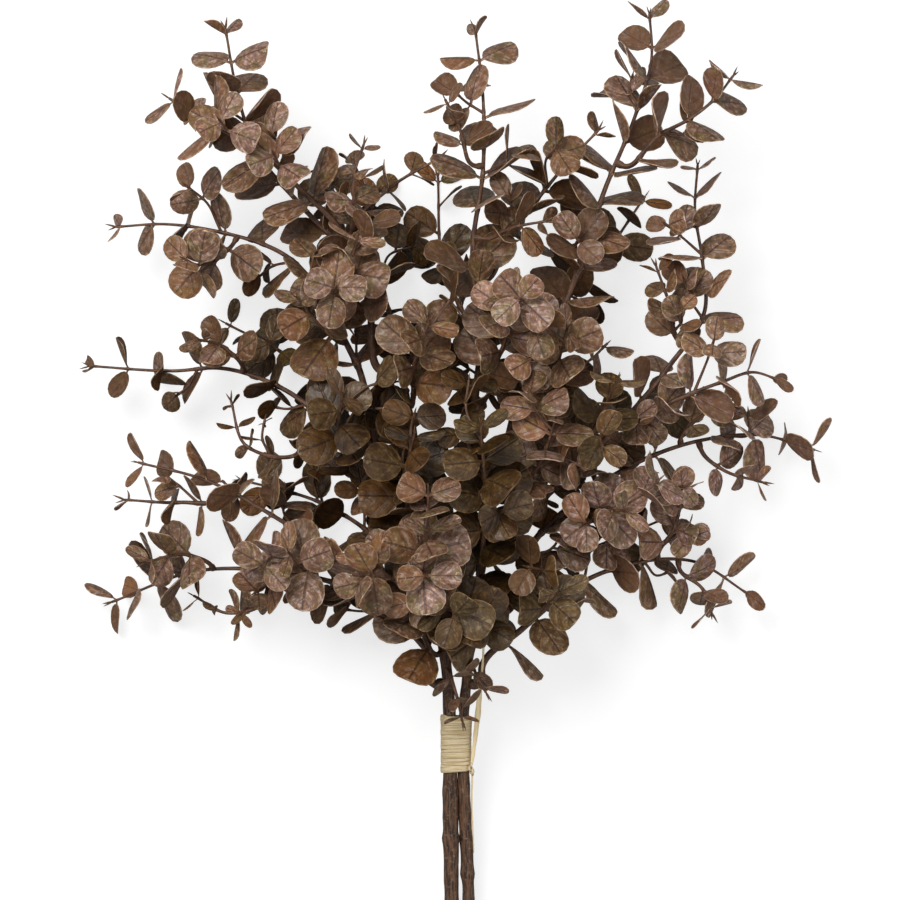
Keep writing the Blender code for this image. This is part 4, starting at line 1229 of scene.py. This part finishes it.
# how much of each layer shows
upper_veins, lower_veins = (add(tree, "ShaderNodeMath", {0: veins, 1: most}, operation="MULTIPLY")
                            for most in (UPPER_VEINS, LOWER_VEINS))
# painted glints: pale highlights where the glint noise and the streaks run high
glint_mix = add(tree, "ShaderNodeMix", {"Factor": 0.5, "A": glint_noise.outputs[0], "B": streaks.outputs[0]})
painted_glints = add(tree, "ShaderNodeMapRange", {"Value": glint_mix, "From Min": 0.58, "From Max": 0.70,
                                           "To Max": 0.42})
glint_share = add(tree, "ShaderNodeMath", {0: below, 1: LOWER_GLINTS - 1, 2: 1.0}, operation="MULTIPLY_ADD")
glint_share = add(tree, "ShaderNodeMath", {0: glint_share, 1: painted_glints}, operation="MULTIPLY")
rim = add(tree, "ShaderNodeMath", {0: skin_map["Y"], 1: RIM_TIP}, operation="SUBTRACT")
rim = add(tree, "ShaderNodeMath", {0: rim, 1: RIM_RISE, 2: RIM_LEVEL}, operation="MULTIPLY_ADD")
rim = add(tree, "ShaderNodeMath", {0: rim, 1: aside}, operation="MAXIMUM")
rim = add(tree, "ShaderNodeMapRange", {"Value": rim, "From Min": 0.93, "From Max": 0.99},
          interpolation_type="SMOOTHSTEP")
worn = add(tree, "ShaderNodeMapRange", {"Value": clouds, "From Min": 0.45, "From Max": 0.60, "To Min": 0.30,
                                        "To Max": 0.75})
rim = add(tree, "ShaderNodeMath", {0: rim, 1: worn}, operation="MULTIPLY")
layers = {"dye": dye}
for name, share, ground, cover in (  # what it makes, its share, what it lies on, and its colour or layer
        # amber: a faint random tint, and deep in the bunch painted light shining through a leaf
        ("dye", amber, "dye", "#a46425"), ("upper", upper_veins, "dye", "#392318"),
        ("lower", LOWER_BROWN, "dye", "#62422a"), ("lower", lower_veins, "lower", "#392318"),
        # next come the painted glints, small pale highlights, and then the worn rim
        ("skin", below, "upper", "lower"), ("skin", glint_share, "skin", "#e8d0b8"),
        ("skin", rim, "skin", "#ddbca1")):
    cover = linear(cover) if cover[0] == "#" else layers[cover]
    layers[name] = add(tree, "ShaderNodeMix", {"Factor": share, 6: layers[ground], 7: cover},
                       data_type="RGBA").outputs[2]
print("layers over the dye:", list(layers))

# %% [markdown]
# Each leaf has its own tone, which also carries painted shade and light, and it is painted darker towards
# its rim, as shade. Darker leaves are also redder, so each channel is darkened at its own rate. The dye also
# parts into warm and cool spots as it dries.

# %% Tone and cast
BROAD_SHADE = 0.7  # how far the broad noise lightens and darkens the leaves
EDGE_SHADE = 0.32  # painted shade: how much darker a leaf is at its rim than at its midrib
MIDRIB_LIGHT = 1.10
DEPTHS = {"X": 0.85, "Y": 1.0, "Z": 1.45}  # how fast each channel darkens
COOL_CAST = (0.89, 1.0, 1.25, 1.0)  # what the dye takes from and adds to each channel
WARM_CAST = (1.13, 1.0, 0.75, 1.0)

# the tone becomes a shade that darkens the colour: painted shade and light where it follows a leaf's place
shade = add(tree, "ShaderNodeMapRange", {"Value": tone_and_shade, "To Min": 0.22, "To Max": 1.50})
shade = add(tree, "ShaderNodeMath", {0: broad, 1: BROAD_SHADE, 2: shade}, operation="MULTIPLY_ADD")
shade = add(tree, "ShaderNodeMath", {0: shade, 1: BROAD_SHADE / 2}, operation="SUBTRACT")
# painted shade: a leaf is lighter along its midrib and darker towards its rim
painted_edge_shade = add(tree, "ShaderNodeMath", {0: aside, 1: 2.0}, operation="POWER")
painted_edge_shade = add(tree, "ShaderNodeMath", {0: painted_edge_shade, 1: -EDGE_SHADE, 2: MIDRIB_LIGHT}, operation="MULTIPLY_ADD")
shade = add(tree, "ShaderNodeMath", {0: shade, 1: painted_edge_shade}, operation="MULTIPLY")
depth = add(tree, "ShaderNodeCombineXYZ")
for channel, power in DEPTHS.items():
    part = add(tree, "ShaderNodeMath", {0: shade, 1: power}, operation="POWER")
    tree.links.new(part.outputs[0], depth.inputs[channel])
leaf_colour = add(tree, "ShaderNodeVectorMath", {0: layers["skin"], 1: depth}, operation="MULTIPLY")

# the glint noise has a second channel, which doesn't follow the painted glints
spots = add(tree, "ShaderNodeSeparateColor", {0: glint_noise.outputs["Color"]})
warmth = add(tree, "ShaderNodeMapRange", {"Value": spots.outputs["Green"], "From Min": 0.36,
                                          "From Max": 0.64})
cast = add(tree, "ShaderNodeMix", {"Factor": warmth, 6: COOL_CAST, 7: WARM_CAST}, data_type="RGBA")
leaf_colour = add(tree, "ShaderNodeVectorMath", {0: leaf_colour, 1: cast.outputs[2]}, operation="MULTIPLY")
print("cool cast", COOL_CAST[:3], "warm cast", WARM_CAST[:3])

# %% [markdown]
# The midrib and the side veins sink into the skin, which is quilted between them and finely pitted. Bumps
# are enough for that, as the relief is a fraction of a millimetre. Where the dye is thick it has dried dull.

# %% Quilted skin
RELIEF_MM = 0.35
RELIEF = ((dye_depth, 0.7), (broad, 3.0), (midrib, -0.8), (glint_noise, 0.60))  # over the quilting's height of one

quilt = add(tree, "ShaderNodeMath", {0: wavy, 1: 0.5}, operation="POWER")
for part, height in RELIEF:
    quilt = add(tree, "ShaderNodeMath", {0: part, 1: height, 2: quilt}, operation="MULTIPLY_ADD")
bump = add(tree, "ShaderNodeBump", {"Strength": 0.75, "Distance": RELIEF_MM * MM, "Height": quilt})
gloss = add(tree, "ShaderNodeMapRange", {"Value": dye_depth, "From Min": 0.4, "From Max": 0.62,
                                         "To Min": 0.48, "To Max": 0.30})
shader = add(tree, "ShaderNodeBsdfPrincipled", {"Base Color": leaf_colour, "Roughness": gloss, "Normal": bump,
                                                "IOR": LEAF_IOR, "Specular IOR Level": LEAF_SHINE})
add(tree, "ShaderNodeOutputMaterial", {"Surface": shader})
print("leaf finish:", len(tree.nodes), "nodes")


# %% [markdown]
# ## Bark
# The twigs wear a thin smooth bark, dark and reddish. The two stems are older: their bark is split into
# fine lengthwise ridges, darker in the furrows, with pale scuffs and small corky specks. Bark follows the
# branch, so the pattern can't be drawn on the room's axes. The strands carry their own coordinates
# instead, called "bark": two run round the branch and the third along it, all in metres.
# Stretching the third draws the streaks. Both kinds are built by one function, because they differ only in
# colour and in how coarse their ridges are.

# %% Bark
SPECK_MM = 1.3


def bark_paint(name, furrow, ridge, scuff, width, streak, depth, roughness):
    """Bark with ridges of a width, a length and a depth in mm."""
    paint, tree = new_paint(name)
    around = add(tree, "ShaderNodeAttribute", attribute_name="bark").outputs["Vector"]
    drawn = add(tree, "ShaderNodeMapping", {"Vector": around, "Scale": (1, 1, width / streak)})
    grain = add(tree, "ShaderNodeTexNoise", {"Vector": drawn, "Scale": 1 / (width * MM), "Detail": 4.0,
                                             "Roughness": 0.6})
    specks = add(tree, "ShaderNodeTexNoise", {"Vector": around, "Scale": 1 / (SPECK_MM * MM), "Detail": 2.0})
    colour = add(tree, "ShaderNodeValToRGB", {"Fac": grain}, stops=((0.38, furrow), (0.62, ridge)))
    share = add(tree, "ShaderNodeMapRange", {"Value": specks, "From Min": 0.58, "From Max": 0.74,
                                             "To Max": 0.35})
    worn = add(tree, "ShaderNodeMix", {"Factor": share, 6: colour, 7: linear(scuff)}, data_type="RGBA")
    height = add(tree, "ShaderNodeMath", {0: specks, 1: 0.4, 2: grain}, operation="MULTIPLY_ADD")
    bump = add(tree, "ShaderNodeBump", {"Strength": 0.8, "Distance": depth * MM, "Height": height})
    shader = add(tree, "ShaderNodeBsdfPrincipled", {"Base Color": worn.outputs[2], "Roughness": roughness,
                                                    "Specular IOR Level": 0.3, "Normal": bump})
    add(tree, "ShaderNodeOutputMaterial", {"Surface": shader})
    return paint


stem_bark = bark_paint("old_boxwood_bark", "#1c110c", "#6e4f39", "#b39c84", width=0.75, streak=6.0,
                       depth=0.6, roughness=0.58)
twig_bark = bark_paint("young_boxwood_bark", "#34211a", "#74523c", "#a98a72", width=0.5, streak=5.0,
                       depth=0.2, roughness=0.5)
print("bark:", stem_bark.name, twig_bark.name)


# %% [markdown]
# Where a stem is cut, its wood shows: dense, fine and honey-coloured, browned by the dye, with faint rings.

# %% Cut wood
RING_MM = 2.6
cut_wood, tree = new_paint("cut_boxwood")
around = add(tree, "ShaderNodeAttribute", attribute_name="bark").outputs["Vector"]
rings = add(tree, "ShaderNodeTexWave", {"Vector": around, "Scale": 1 / (RING_MM * MM), "Distortion": 1.5,
                                        "Detail": 2.0}, wave_type="RINGS", rings_direction="Z")
rings = rings.outputs["Fac"]
colour = add(tree, "ShaderNodeValToRGB", {"Fac": rings}, stops=((0.0, "#7d6146"), (1.0, "#a58a66")))
bump = add(tree, "ShaderNodeBump", {"Strength": 0.4, "Distance": 0.1 * MM, "Height": rings})
shader = add(tree, "ShaderNodeBsdfPrincipled", {"Base Color": colour, "Roughness": 0.7, "Normal": bump})
add(tree, "ShaderNodeOutputMaterial", {"Surface": shader})
print("cut ends:", cut_wood.name)


# %% [markdown]
# ## A spray
# A spray's guide holds its twigs as lines and its leaves as loose points. Each leaf point carries which
# blade it takes, how it is turned and how large it is, and its colour. The tree splits the two, sweeps the
# twigs and puts a blade on each leaf point. The copies are made real. What hangs too low is lifted onto
# the table, the upper skin more than the lower, so that a leaf keeps its thickness.

# %% The spray tree
spray, given = new_tree(
    "leafy_spray", "Spray", Guide=("Geometry", None), Blades=("Collection", None), Twig_sides=("Int", 7),
    Ridge_height=("Float", 0.00012), Table_clearance=("Float", 0.0002), Twig_finish=("Material", None),
    Leaf_finish=("Material", None))
is_leaf, which, turned, sized = (
    add(spray, "GeometryNodeInputNamedAttribute", {"Name": name}, data_type=kind)
    for name, kind in (("is_leaf", "BOOLEAN"), ("blade", "INT"), ("turn", "FLOAT_VECTOR"),
                       ("size", "FLOAT_VECTOR")))

# twigs along the lines, and a blade on each leaf point
split = add(spray, "GeometryNodeSeparateGeometry", {"Geometry": given["Guide"], "Selection": is_leaf}).outputs
twigs = add(spray, "GeometryNodeGroup", node_tree=strand)
for name, value in {"Guide": split["Inverted"], "Sides": given["Twig sides"],
                    "Ridge height": given["Ridge height"], "Finish": given["Twig finish"],
                    "Cap finish": given["Twig finish"]}.items():
    spray.links.new(value, twigs.inputs[name])
shapes = add(spray, "GeometryNodeCollectionInfo", {"Collection": given["Blades"], "Separate Children": True,
                                                   "Reset Children": True})
leaves = add(spray, "GeometryNodeInstanceOnPoints", {
    "Points": split["Selection"], "Instance": shapes, "Pick Instance": True, "Instance Index": which,
    "Rotation": turned, "Scale": sized})
whole = add(spray, "GeometryNodeJoinGeometry")
for part in (twigs, leaves):
    spray.links.new(part.outputs[0], whole.inputs[0])
whole = add(spray, "GeometryNodeRealizeInstances", {"Geometry": whole})

# skin that looks up stays higher above the table than skin that looks down
spot = add(spray, "ShaderNodeSeparateXYZ", {0: add(spray, "GeometryNodeInputPosition")}).outputs
facing = add(spray, "ShaderNodeSeparateXYZ", {0: add(spray, "GeometryNodeInputNormal")}).outputs
lowest = add(spray, "ShaderNodeMath", {0: facing["Z"], 1: 1.0}, operation="ADD")
lowest = add(spray, "ShaderNodeMath", {0: lowest, 1: given["Table clearance"]}, operation="MULTIPLY")
above = add(spray, "ShaderNodeMath", {0: spot["Z"], 1: lowest}, operation="MAXIMUM")
kept = add(spray, "ShaderNodeCombineXYZ", {"X": spot["X"], "Y": spot["Y"], "Z": above})
whole = add(spray, "GeometryNodeSetPosition", {"Geometry": whole, "Position": kept})
whole = add(spray, "GeometryNodeSetMaterial", {"Geometry": whole, "Selection": is_leaf,
                                               "Material": given["Leaf finish"]})
add(spray, "NodeGroupOutput", {"Spray": whole})
print("spray tree:", len(spray.nodes), "nodes")


# %% [markdown]
# ## The sprays
# The leaves of one spray share their colour, more or less: some sprays stayed olive, and some are darker
# or lighter than others, in part as painted shade in the middle of the head. Leaves low and deep in the bunch
# are painted darker and high or outer ones lighter, as shade and light, so a leaf's tone follows from its
# spray, its height, how far out it is, and chance.

# %% Looks of the leaves
# a spray's lighter or darker is partly its own colour and partly painted shade and light: darker in the
# middle of the head, lighter at some outer sprays
SPRAY_LOOKS = {  # how much lighter or darker, how olive, and the share of leaves that show the underside
    "front_top": (0.30, 0.0, 0.0), "front_top_left": (-0.12, 0.1, 0.0), "front_top_right": (0.0, 0.1, 0.2),
    "front_right": (-0.38, 0.65, 0.0), "front_right_high": (0.20, 0.1, 0.0),
    "front_right_side": (0.40, 0.0, 0.0), "front_right_tall": (-0.25, 0.7, 0.1),
    "front_middle": (-0.50, 0.7, 0.1), "front_left": (-0.42, 0.65, 0.2),
    "front_left_high": (-0.15, 0.1, 0.1), "front_low": (0.08, 0.1, 0.0),
    "front_low_left": (-0.10, 0.1, 0.0), "front_lower_left": (0.15, 0.1, 0.0),
    "front_foot": (-0.42, 0.65, 0.0), "front_foot_right": (-0.10, 0.65, 0.1),
    "right_mid_up": (0.42, 0.7, 0.1), "right_high": (0.50, 0.30, 0.1), "top_right": (0.05, 0.0, 0.5),
    "top_right_side": (0.0, 0.0, 0.5), "top_middle": (0.0, 0.1, 0.35), "top_middle_left": (-0.05, 0.0, 0.4),
    "top_middle_right": (0.0, 0.1, 0.2), "upper_right": (-0.1, 0.1, 0.3), "right_tall": (0.35, 0.3, 0.15),
    "right_tall_inner": (0.05, 0.4, 0.2), "left_mid": (-0.22, 0.2, 0.2), "left_low": (0.1, 0.0, 0.1),
    "lower_left": (0.1, 0.0, 0.1), "lower_right": (0.52, 0.2, 0.1), "right_mid": (0.52, 0.1, 0.1),
    "right_mid_down": (0.45, 0.0, 0.1), "lower_right_up": (0.62, 0.0, 0.0),
    "lower_right_down": (0.45, 0.0, 0.1), "left_mid_curl": (-0.3, 0.2, 0.1),
    "front_left_top": (0.15, 0.1, 0.2),
}
PLAIN_LOOK = (0.0, 0.10, 0.12)
# the sprays underneath are painted a little darker, as shade
UNDER_LOOK = (-0.10, 0.4, 0.0)
looks = random.Random(23)
TONE_RANGE = 0.21  # how far one leaf may be from its spray
PAINTED_GLOW_AMBER = 0.55
PAINTED_GLOW_CHANCE = 0.12  # the share of leaves deep in the bunch painted amber, as light shining through them
# the head's size, by which leaves high up and far out are painted lighter and deep ones darker
HEAD_HEIGHT = 95.0
HEAD_MIDDLE = 20  # along Y
HEAD_HALVES = (150, 190)  # from its middle to its edge, along X and Y


def leaf_looks(leaf, lighter, olive):
    """Which blade a leaf takes, and its tone, olive share and amber share."""
    middle = leaf.foot + leaf.direction * leaf.length / 2
    height = min(1.0, middle.z / HEAD_HEIGHT)
    spread = min(1.0, math.hypot(middle.x / HEAD_HALVES[0], (middle.y - HEAD_MIDDLE) / HEAD_HALVES[1]))
    # painted light and shade: a leaf is lighter the higher and farther out it sits
    tone_and_shade = 0.06 + 0.40 * height + 0.53 * spread + lighter + looks.uniform(-TONE_RANGE, TONE_RANGE)
    deep = max(0.0, 1 - 1.4 * height - 0.6 * spread)
    share = min(1.0, max(0.0, olive + 0.9 * deep * looks.random() + looks.uniform(-0.25, 0.15)))
    # deep leaves may be painted amber, as light shining through them; elsewhere amber is a faint random tint
    amber = PAINTED_GLOW_AMBER if deep > 0.25 and looks.random() < PAINTED_GLOW_CHANCE else max(0.0, looks.uniform(-0.35, 0.24))
    blade = 0 if leaf.pressed else looks.randrange(1, BLADES)
    return blade, min(1.0, max(0.0, tone_and_shade)), share, amber


print(len(SPRAY_LOOKS), "sprays have looks of their own")


# %% [markdown]
# A spray's twig and side stalks become lines that swell a little where a pair of leaves sits, with a thicker
# collar at the foot. Each planned leaf becomes a point, and so does each bud.

# %% Guides of the sprays
TWIG_STEP = 1.3
TWIG_SHARE = 1.12  # the planned twig is a square tube, which a round one fills this far
NODE_SWELL = 0.3
TIP_RADIUS = 0.52
BARE_FOOT = 0.55  # how far the foot is drawn back, onto its parent
SWELL_REACH = 1.6  # to either side of a pair of leaves
TAPER = 0.25
BUD_OVERLAP = 0.4


def strand_points(axis, foot_back):
    """A twig's guide: place, radius and outward side, evenly along it."""
    count = max(4, round(axis.length / TWIG_STEP))
    bearing = [s for s, _, _ in axis.leaves] + [s for s, _, _ in axis.stalks]
    found = []
    for i in range(count + 1):
        s = axis.length * i / count
        point, tangent, side, radius = axis.at(s)
        radius = max(TIP_RADIUS, radius * TWIG_SHARE * (1 - TAPER * s / axis.length))
        near = min([abs(s - b) for b in bearing] or [SWELL_REACH])
        radius *= 1 + NODE_SWELL * max(0.0, 1 - near / SWELL_REACH)
        if i == 0:
            point = point - tangent * foot_back
        found.append((point, radius, side))
    return found


def leaf_point(foot, frame_axes, length, half, blade, tone_and_shade, olive, amber=0.0):
    """A leaf or bud as a guide point, turned to its own axes and as large as it is."""
    return {"foot": foot, "turn": Matrix(frame_axes).transposed().to_euler(),
            "size": (length * MM, half * MM, length * MM), "blade": blade, "tone_and_shade": tone_and_shade, "olive": olive,
            "amber": amber}


def bud_point(axis, blade, length, olive):
    """A bud at the tip of a twig or stalk."""
    point, tangent, side, _ = axis.at(axis.length)
    frame_axes = (tangent, side, tangent.cross(side))
    return leaf_point(point - tangent * BUD_OVERLAP, frame_axes, length, length, blade, 0.5, olive)


print("a twig's guide has a point each", TWIG_STEP, "mm")


# %% [markdown]
# Now the sprays are grown, one after another. The leaves of a side stalk follow those of its twig.

# %% All the sprays
sizes = []
for name, *_ in SPRAYS:
    axis = axes[name]
    lighter, olive, turned_over = SPRAY_LOOKS.get(name, UNDER_LOOK if "under" in name else PLAIN_LOOK)
    lines = [strand_points(axis, BARE_FOOT)]
    points = [bud_point(axis, FORKED_BUD, looks.uniform(3.5, 5.5), olive)]
    borne = list(axis.leaves)
    for _, _, stalk in axis.stalks:
        lines.append(strand_points(stalk, 0.0))
        points.append(bud_point(stalk, SINGLE_BUD, looks.uniform(2.5, 4.0), olive))
        borne += stalk.leaves
    for _, _, leaf in borne:
        way = -1 if not leaf.pressed and looks.random() < turned_over else 1
        points.append(leaf_point(leaf.foot, (leaf.direction, way * leaf.across, way * leaf.normal),
                                 leaf.length, leaf.width / 2, *leaf_looks(leaf, lighter, olive)))
    piece = grow_piece(name + "_spray", name, "dried_leaf", spray, guide_mesh(lines, points), Blades=blades,
                       Twig_finish=twig_bark, Leaf_finish=leaf_paint)
    sizes.append(len(piece.data.polygons))
print(len(sizes), "sprays of", min(sizes), "to", max(sizes), "faces,", sum(sizes), "in all")

# %% [markdown]
# ## The stems
# The two stems are older wood. Each is one strand with many sides and fine ridges, so its bark catches the
# light in streaks. It thickens softly where a bud or a side shoot once grew, and its cut end has a narrow
# chamfer from the shears, with pale wood inside.

# %% Stems
STEM_STEP = 1.4
CHAMFER = 0.35  # how much the radius drops at each end, and how long that takes at the cut one
TOP_CHAMFER = 0.5  # how long it takes at the top
STEM_KNOTS = {  # distance from the cut end, how much it swells and how far that reaches, all in mm
    "stem_left": ((29, 0.30, 2.4), (67, 0.65, 2.4), (79, 0.50, 13), (150, 0.30, 2.4), (204, 0.30, 2.4)),
    "stem_right": ((18, 0.25, 2.4), (49, 0.50, 2.4), (76, 0.28, 13), (146, 0.30, 2.4), (190, 0.25, 2.4)),
}


def stem_points(axis, knots):
    """A stem's guide."""
    count = round(axis.length / STEM_STEP)
    stations = [0.0, CHAMFER] + [axis.length * i / count for i in range(1, count)]
    stations += [axis.length - TOP_CHAMFER, axis.length]
    found = []
    for s in stations:
        point, _, side, radius = axis.at(s)
        swell = sum(rise * math.exp(-((s - middle) / reach) ** 2) for middle, rise, reach in knots)
        swell += 0.10 * math.sin(0.21 * s + 1.7) + 0.07 * math.sin(0.53 * s)  # no branch is quite even
        trim = CHAMFER if s in (0.0, axis.length) else 0.0
        found.append((point, radius + swell - trim, side))
    return found


for name in STEMS:
    guide = guide_mesh([stem_points(axes[name], STEM_KNOTS[name])])
    stem = grow_piece(name + "_branch", name, "stem_bark", strand, guide, Sides=22, Ridge_height=0.0007,
                      Ridge_width=0.0011, Finish=stem_bark, Cap_finish=cut_wood)
    print(stem.name, len(stem.data.polygons), "faces,", round(axes[name].length), "mm")

# %% [markdown]
# ## The winding
# The raffia is one flat strip wound round both stems, a little steeper here and there, each turn lying
# half on the last. Its path is a helix on the outline that a taut band takes round two round stems: half
# a circle on each, joined by straight runs. The strand tree sweeps the strip along it. The lowest turn
# was wound last and stands a little wider, where it runs into the knot.

# %% Winding
TURNS = 12
TURN_POINTS = 40
TO_KNOT = 8  # points short of the last full turn, where the strip meets the knot at its side
STRIP_HALF = 1.6  # half the strip's width
STRIP_FLAT = 0.19  # its thickness over its width
STRIP_OFFSET = 0.92  # from the stems' skin to its middle
OFFSET_CHANGE = 0.05
STRAY = 0.35  # how far a turn may stray along the stems
TAUT = 0.95  # the share of that left when the strip is pulled taut
WIDTH_CHANGE = 0.16
LAST_TURN = 1.12  # the last turn's width over the others'


def passing(name, y):
    """A stem's centre and radius where it passes y, between the kept points."""
    axis = axes[name]
    k = next(i for i in range(len(axis.line) - 1) if axis.line[i + 1].y >= y)
    share = (y - axis.line[k].y) / (axis.line[k + 1].y - axis.line[k].y)
    point, _, _, radius = axis.at((k + share) * axis.step)
    return point, radius


def band_point(y, angle, offset):
    """A point of the band round both stems at an angle, and the way it looks."""
    out = Vector((math.cos(angle), 0, math.sin(angle)))
    centre, radius = passing("stem_right" if out.x > 0 else "stem_left", y)
    return centre + out * (radius + offset), out


strip = []
wind = random.Random(3)
stray = [wind.uniform(-STRAY, STRAY) for _ in range(TURNS + 1)]
run = TIE_ENDS[1] - TIE_ENDS[0] - 2 * STRIP_HALF
last = TURNS * TURN_POINTS - TO_KNOT
for i in range(last + 1):
    turns = i / TURN_POINTS
    k = min(int(turns), TURNS - 1)
    slant = stray[k] + (stray[k + 1] - stray[k]) * (turns - k)
    y = TIE_ENDS[1] - STRIP_HALF - run * turns / TURNS + slant * TAUT
    offset = STRIP_OFFSET + OFFSET_CHANGE * math.sin(2.3 * turns)
    point, out = band_point(y, math.pi / 2 + math.tau * turns, offset)
    widest = STRIP_HALF * (1 + WIDTH_CHANGE * math.sin(4.1 * turns))
    widest *= LAST_TURN if turns > TURNS - 1 else 1.0
    strip.append((point, widest * min(1.0, 0.3 + i / 6, 0.4 + (last - i) / 4), out))
winding = grow_piece("raffia_winding", "raffia_tie", "raffia", strand, guide_mesh([strip]), Sides=10,
                     Flatness=STRIP_FLAT, Ridge_height=0.00016, Ridge_width=0.0005, Finish=raffia,
                     Cap_finish=raffia)
print(winding.name, TURNS, "turns,", len(winding.data.polygons), "faces")

# %% [markdown]
# ## The knot
# The ends meet in a small overhand knot at the right of the lowest turn. A trefoil is the path of an
# overhand knot whose ends are joined, so the strip follows one, pressed into the size of the knot. It
# comes in from the upper free end and goes out to the lower one, in a smooth lead at either side.

# %% Knot
KNOT_POINTS = 80
KNOT_STRIP = 0.62  # half the strip's width in the knot
KNOT_RUN = (1.9, math.tau + 0.75)  # the stretch of the trefoil, in radians
LEAD = 0.14  # share of the path that leads to a free end
INSET = 0.8  # how far the path stays inside the knot, as a share of half the strip's width
reach = [size - KNOT_STRIP * INSET for size in KNOT_SIZE]
leads = [Vector(route[0]) for _, route in TAILS.values()]
tie_path = []
for i in range(KNOT_POINTS + 1):
    share = i / KNOT_POINTS
    t = KNOT_RUN[0] + (KNOT_RUN[1] - KNOT_RUN[0]) * share
    x = (math.sin(t) + 2 * math.sin(2 * t)) / 3 * reach[0]
    y = (math.cos(t) - 2 * math.cos(2 * t)) / 3 * reach[1]
    z = -math.sin(3 * t) * reach[2] * 0.8
    out = Vector((x, y, 2.0 * z)).normalized()
    lead = max(0.0, 1 - min(share, 1 - share) / LEAD)
    lead = lead * lead * (3 - 2 * lead)
    point = (Vector(KNOT) + Vector((x, y, z))).lerp(leads[share > 0.5], lead)
    tie_path.append((point, KNOT_STRIP * (1 - 0.25 * lead), out.lerp(Vector((0, 0, 1)), lead).normalized()))
knot = grow_piece("raffia_overhand_knot", "raffia_knot", "raffia", strand, guide_mesh([tie_path]), Sides=8,
                  Flatness=0.55, Ridge_height=0.0001, Ridge_width=0.0004, Finish=raffia, Cap_finish=raffia)
print(knot.name, len(knot.data.polygons), "faces")

# %% [markdown]
# ## Check and finish
# The blades were only shapes to copy, so they are removed. The finished bunch is measured against the
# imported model: each piece's box should be near that of its node.

# %% Measure and finish
for blade in list(blades.objects):
    bpy.data.objects.remove(blade)
bpy.data.collections.remove(blades)
worst = 0.0
for piece in scene.collection.objects:
    node = piece.name.removesuffix("_spray").removesuffix("_branch")
    if piece.type == "MESH" and node in axes and node not in TAILS and piece.name != node:
        low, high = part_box(node)
        corners = [[f(v.co[k] for v in piece.data.vertices) for k in range(3)] for f in (min, max)]
        gaps = [low[k] - corners[0][k] for k in range(3)] + [corners[1][k] - high[k] for k in range(3)]
        worst = max(worst, *gaps)
print("a piece stands out of its node's box by", round(worst / MM, 1), "mm at most")
bpy.context.view_layer.update()
